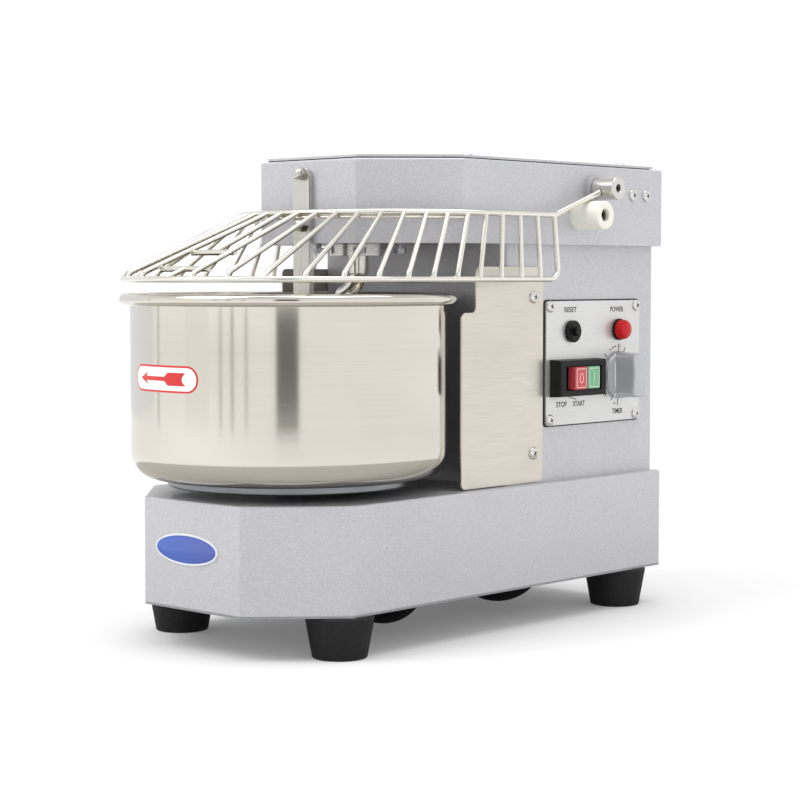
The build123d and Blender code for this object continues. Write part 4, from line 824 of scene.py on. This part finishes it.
# ---- Reset button and power lamp ------------------------------------------------------------------
# A black thermal breaker is held behind the panel by its ring nut.
# The red lamp has a domed lens with a ribbed side, in a black bezel.
coat(black_plastic, "reset_breaker_body", "reset_ring_nut", "reset_button", "power_lamp_bezel",
     "timer_body", "electrical_box")
LAMP_Y = 0.1904
LAMP_Z = 0.2560
FACE_X = Matrix.Rotation(math.pi / 2, 4, "Y")
LENS_LINE = [(0, 0.0110), (0.0030, 0.0109), (0.0058, 0.0104), (0.0075, 0.0095), (0.0086, 0.0080),
             (0.0090, 0.0064), (0.0090, 0.0030), (0.0089, 0.0020), (0, 0.0020)]
LENS_RIBS = 16
RIB_DEPTH = 0.0006
SIDE_SHARE = 0.93


def ribbed(outline, ribs, depth, steps):
    """A lathed shape whose side is cut by ribs."""
    shape = lathe(outline, steps, closed=False)
    widest = max(radius for radius, height in outline)
    for vert in shape.verts:
        radius = math.hypot(vert.co.x, vert.co.y)
        if radius > widest * SIDE_SHARE:
            turn = math.atan2(vert.co.y, vert.co.x)
            squeeze = 1 - depth * (0.5 - 0.5 * math.cos(ribs * turn)) / widest
            vert.co.x *= squeeze
            vert.co.y *= squeeze
    return shape


lens_red = finish("lens_red", (204, 6, 24), (184, 2, 16), (300, 300, 300), 0.16, 0.26,
                  Coat_Weight=0.15, Specular_IOR_Level=0.25)
at_lamp = Matrix.Translation((PANEL_FACE, LAMP_Y, LAMP_Z)) @ FACE_X
piece("lamp_lens", to_mesh("lamp_lens", ribbed(LENS_LINE, LENS_RIBS, RIB_DEPTH, 192), at_lamp), lens_red,
      "machine", "red_lens", "power_lamp_lens")


# ---- Timer knob -----------------------------------------------------------------------------------
# Silver-grey moulded knob: a round skirt and a thick hollow-sided grip, with a lighter bar at the grip's
# foot as a painted highlight.
SKIRT_R = 0.0215
SKIRT_HIGH = 0.004
KNOB_FOOT = 0.0005
KNOB_HIGH = 0.025
GRIP_FOOT_HALF = 0.0102
GRIP_TOP_HALF = 0.0076
KNOB_SIDES = 144
GRIP_STEPS = 8
GRIP_LOW = SKIRT_HIGH + 0.0006
GRIP_TOP = KNOB_HIGH - 0.0012
HOLLOW = 0.0022
STEM_R = 0.003
STEM = (0.0008, -0.0215)
RIDGE_R = 0.0007
RIDGE_REACH = 0.0206
# Each level is a height, a share of the skirt's radius, and half the grip's thickness or None.
knob_levels = [(KNOB_FOOT, 1.0, None), (KNOB_FOOT + 0.003, 1.0, None), (SKIRT_HIGH + 0.0003, 0.97, None)]
for step in range(GRIP_STEPS + 1):
    rise = step / GRIP_STEPS
    knob_levels.append((GRIP_LOW + rise * (GRIP_TOP - GRIP_LOW), 0.965 - 0.045 * rise,
                        GRIP_FOOT_HALF + (GRIP_TOP_HALF - GRIP_FOOT_HALF) * rise ** 0.6))
knob_levels.append((KNOB_HIGH - 0.0003, 0.90, GRIP_TOP_HALF - 0.0005))
knob_levels.append((KNOB_HIGH, 0.87, GRIP_TOP_HALF - 0.0012))


def knob_radius(turn, share, half):
    """Radius of the knob's outline at one angle: a circle, or a hollow-sided bar inside it."""
    whole = SKIRT_R * share
    if half is None:
        return whole
    side = abs(math.cos(turn))
    lean = half + HOLLOW * (math.sin(turn) * whole / SKIRT_R) ** 2
    return min(whole, lean / max(side, 0.001))


knob = bmesh.new()
knob_rings = []
for rise, share, half in knob_levels:
    ring = []
    for step in range(KNOB_SIDES):
        turn = 2 * math.pi * step / KNOB_SIDES
        radius = knob_radius(turn, share, half)
        ring.append(knob.verts.new((PANEL_FACE + rise, TIMER_Y + radius * math.cos(turn),
                                    TIMER_Z + radius * math.sin(turn))))
    knob_rings.append(ring)
for lower, upper in zip(knob_rings, knob_rings[1:]):
    for step in range(KNOB_SIDES):
        after = (step + 1) % KNOB_SIDES
        knob.faces.new((lower[step], lower[after], upper[after], upper[step]))
knob.faces.new(knob_rings[-1])
knob.faces.new(knob_rings[0])
stem = lathe([(0, STEM[0]), (STEM_R, STEM[0]), (STEM_R, STEM[1]), (0, STEM[1])], 24, closed=False)
stem.transform(Matrix.Translation((PANEL_FACE, TIMER_Y, TIMER_Z)) @ FACE_X)
silver_plastic = finish("silver_plastic", (190, 192, 196), (184, 186, 190), (350, 350, 350), 0.34, 0.4,
                        Metallic=0.45)
piece("timer_grip", to_mesh("timer_grip", joined(knob, stem), sharp=40), silver_plastic, "timer_dial",
      "silver_plastic", "timer_knob")
# A thin bar of lighter silver along the foot of the grip, on its -Y side only, is a painted highlight on
# the fillet there.
highlight_bar_ends = [dial_place(turn, RIDGE_REACH, SKIRT_HIGH + 0.0004) for turn in (0, 180)]
highlight_bar = grown(lines(highlight_bar_ends), bent_wire, Radius=RIDGE_R, Bend=0.0, Step=0.002, Sides=12, Domed=1.0,
                Material=silver_plastic)
for vert in highlight_bar.verts:
    vert.co.y -= GRIP_FOOT_HALF + 0.0006
ridge_painted_highlight = finish("ridge_painted_highlight", (240, 240, 240), (226, 226, 228), (400, 400, 400), 0.15, 0.25,
                      Metallic=0.5)
piece("timer_ridge", to_mesh("timer_ridge", highlight_bar), ridge_painted_highlight, "timer_dial", "silver_plastic")


# ---- Badge ----------------------------------------------------------------------------------------
# Blank domed oval plate stuck on the base's front face.
# Blue lacquer, shading to violet, fills a bright raised rim.
BADGE_X = -0.0045
BADGE_Z = 0.0847
BADGE_HALF = (0.0375, 0.013)
RIM = 0.0016
OVAL_STEPS = 72
base_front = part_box("base_housing")[0][1]


def oval(shrink, lift):
    """Points of an oval ring, a distance inside the badge's edge and over the base's face."""
    turns = [step * 2 * math.pi / OVAL_STEPS for step in range(OVAL_STEPS)]
    return [(BADGE_X + (BADGE_HALF[0] - shrink) * math.cos(turn), base_front - lift,
             BADGE_Z + (BADGE_HALF[1] - shrink) * math.sin(turn)) for turn in turns]


def domed_plate(rings):
    """A closed plate through rings of points."""
    shape = bmesh.new()
    loops = [[shape.verts.new(point) for point in ring] for ring in rings]
    for low, high in zip(loops, loops[1:]):
        for index in range(len(low)):
            following = (index + 1) % len(low)
            shape.faces.new((low[index], low[following], high[following], high[index]))
    shape.faces.new(loops[0])
    shape.faces.new(loops[-1])
    return shape


rim_rings = [oval(0, 0), oval(0, 0.0008), oval(0.0004, 0.0013), oval(RIM, 0.0013)]
field_rings = [oval(RIM, 0.0005), oval(RIM, 0.00125), oval(RIM + 0.0008, 0.00145), oval(0.005, 0.0016)]
badge_rim = finish("badge_rim", (236, 238, 242), (220, 222, 228), (500, 500, 500), 0.18, 0.28, Metallic=0.3)
badge_blue = finish("badge_blue", (24, 96, 196), (78, 76, 146), (4, 4, 4), 0.16, 0.24,
                    clouding=0.2, Coat_Weight=0.6)
piece("badge_frame", to_mesh("badge_frame", domed_plate(rim_rings)), badge_rim,
      "machine", "blue_badge", "badge")
piece("badge_lacquer", to_mesh("badge_lacquer", domed_plate(field_rings)), badge_blue,
      "machine", "blue_badge")


# ---- Inside drive ---------------------------------------------------------------------------------
# Motor, chains, gear, bearings and shafts, seen only with the covers off.
# Turned parts are bare steel, housings are cast or painted, and the gear and fan are nylon.
machined = finish("machined", (176, 178, 180), (148, 150, 153), (800, 800, 800), 0.24, 0.42, bump=0.00001,
                  Metallic=1.0)
cast = finish("cast", (158, 160, 162), (132, 134, 137), (260, 260, 260), 0.5, 0.68,
              bump=0.00012, Metallic=0.7)
motor_paint = finish("motor_paint", (70, 84, 104), (56, 68, 86), (350, 350, 350), 0.4, 0.55,
                     bump=0.00005)
white_nylon = finish("white_nylon", (232, 230, 222), (218, 216, 208), (300, 300, 300), 0.4, 0.52,
                     bump=0.00002)
coat(machined, "ball_bearings", "base_chain", "head_chain", "bowl_sprocket", "spiral_sprocket",
     "main_shaft", "main_shaft_sprockets", "motor_rotor")
coat(cast, "gearbox_housing", "bowl_bearing_housing")
coat(motor_paint, "motor_housing")
coat(white_nylon, "main_gear", "motor_fan")


# ---- Studio ---------------------------------------------------------------------------------------
# White floor and soft light. Upright cards beside the camera put dark bands in the polished steel,
# and a grey disc on the floor, seen only in reflections, tones the undersides of the wires and bowl.
FLOOR_HALF = 30.0
GLOW_START = 1.0
GLOW_FULL = 4.0
GLOW_NEAR = 0.12
GLOW_FAR = 0.42
floor_mesh = bpy.data.meshes.new("floor")
floor_mesh.from_pydata([(-FLOOR_HALF, -FLOOR_HALF, 0), (FLOOR_HALF, -FLOOR_HALF, 0),
                        (FLOOR_HALF, FLOOR_HALF, 0), (-FLOOR_HALF, FLOOR_HALF, 0)], [], [(0, 1, 2, 3)])
floor = bpy.data.objects.new("floor", floor_mesh)
scene.collection.objects.link(floor)
floor_white = finish("floor_white", (232, 232, 232), (229, 229, 229), (30, 30, 30), 0.75, 0.85,
                     Specular_IOR_Level=0.0)
floor_tree = floor_white.node_tree
# The floor glows by itself, faintly near the machine and more strongly far out: painted light that lifts
# the floor's shadows and keeps the far floor white.
spot = put(floor_tree, "ShaderNodeTexCoord").outputs["Object"]
away = put(floor_tree, "ShaderNodeVectorMath", {0: spot}, operation="LENGTH")
glow = put(floor_tree, "ShaderNodeMapRange",
           {"Value": away.outputs["Value"], "From Min": GLOW_START, "From Max": GLOW_FULL,
            "To Min": GLOW_NEAR, "To Max": GLOW_FAR},
           interpolation_type="SMOOTHSTEP")
floor_shader = floor_tree.nodes["Principled BSDF"]
floor_tree.links.new(glow.outputs[0], floor_shader.inputs["Emission Color"])
floor_shader.inputs["Emission Strength"].default_value = 1.0
floor_mesh.materials.append(floor_white)


def card(name, corners, shade):
    """A flat card, seen only in reflections."""
    mesh = bpy.data.meshes.new(name)
    mesh.from_pydata(corners, [], [tuple(range(len(corners)))])
    made = bpy.data.objects.new(name, mesh)
    scene.collection.objects.link(made)
    mesh.materials.append(finish(name, shade, shade, (5, 5, 5), 0.9, 0.95))
    made.visible_camera = False
    made.visible_diffuse = False
    made.visible_shadow = False
    made.visible_transmission = False


def upright_card(name, turn, distance, width, low, high, shade):
    """A card that stands round the object, facing it."""
    angle = math.radians(turn)
    middle = Vector((distance * math.cos(angle), distance * math.sin(angle), 0))
    aside = Vector((-math.sin(angle), math.cos(angle), 0)) * width / 2
    corners = [middle - aside, middle + aside]
    card(name, [(corner.x, corner.y, height) for corner, height in (
        (corners[0], low), (corners[1], low), (corners[1], high), (corners[0], high))], shade)


# Each card has a heading in degrees, a distance, a width, two heights and a shade.
CARDS = [
    ("card_band", -48.0, 2.4, 0.62, 0.0, 1.2, (96, 96, 98)),
    ("card_line_a", -92.7, 2.6, 0.05, 0.0, 1.2, (110, 108, 102)),
    ("card_line_b", -84.5, 2.6, 0.06, 0.0, 1.2, (84, 82, 78)),
    ("card_line_c", -74.9, 2.6, 0.05, 0.0, 1.2, (110, 108, 102)),
    ("card_line_d", -147.0, 2.6, 0.05, 0.0, 1.2, (120, 118, 112)),
    ("card_pale", -111.0, 2.8, 0.90, 0.0, 1.2, (236, 236, 234)),
    ("card_side", 176.0, 2.8, 3.2, 0.0, 1.6, (226, 228, 232)),
]
for card_sizes in CARDS:
    upright_card(*card_sizes)
LOW_CARD_R = 0.7
LOW_CARD_Z = 0.002
card("card_low", [(x, y, LOW_CARD_Z) for x, y in arc((0, 0), LOW_CARD_R, 0, 354, 59)], (184, 182, 178))

world = bpy.data.worlds.new("studio")
scene.world = world
world.use_nodes = True
sky = world.node_tree
SKY_LOW = 1.08
SKY_HIGH = 0.55
heading = put(sky, "ShaderNodeSeparateXYZ", {0: put(sky, "ShaderNodeTexCoord").outputs["Generated"]})
fade = put(sky, "ShaderNodeMapRange",
           {"Value": heading.outputs["Z"], "From Min": 0.25, "From Max": 1.0,
            "To Min": SKY_LOW, "To Max": SKY_HIGH})
sky.links.new(fade.outputs[0], sky.nodes["Background"].inputs["Strength"])
sky.nodes["Background"].inputs["Color"].default_value = (1.0, 1.0, 1.0, 1.0)


def soft_light(name, place, target, size, power):
    """A square area light aimed at a place."""
    lamp = bpy.data.lights.new(name, "AREA")
    lamp.shape = "SQUARE"
    lamp.size = size
    lamp.energy = power
    holder = bpy.data.objects.new(name, lamp)
    scene.collection.objects.link(holder)
    holder.location = place
    holder.rotation_euler = (Vector(target) - Vector(place)).to_track_quat("-Z", "Y").to_euler()


soft_light("key_light", (-0.8, -1.8, 2.4), (0, 0, 0.2), 1.6, 31)
soft_light("top_light", (0.4, 0.1, 2.4), (0, 0, 0.2), 2.0, 26)

CAMERA_PLACE = (1.2290, -1.3073, 0.3048)
CAMERA_TARGET = (0.0062, 0.0107, 0.195)
camera_data = bpy.data.cameras.new("camera")
camera_data.lens = 91.55
camera_data.sensor_width = 36
camera = bpy.data.objects.new("camera", camera_data)
scene.collection.objects.link(camera)
camera.location = CAMERA_PLACE
camera.rotation_euler = (Vector(CAMERA_TARGET) - Vector(CAMERA_PLACE)).to_track_quat("-Z", "Y").to_euler()
scene.camera = camera
scene.view_settings.view_transform = "Standard"
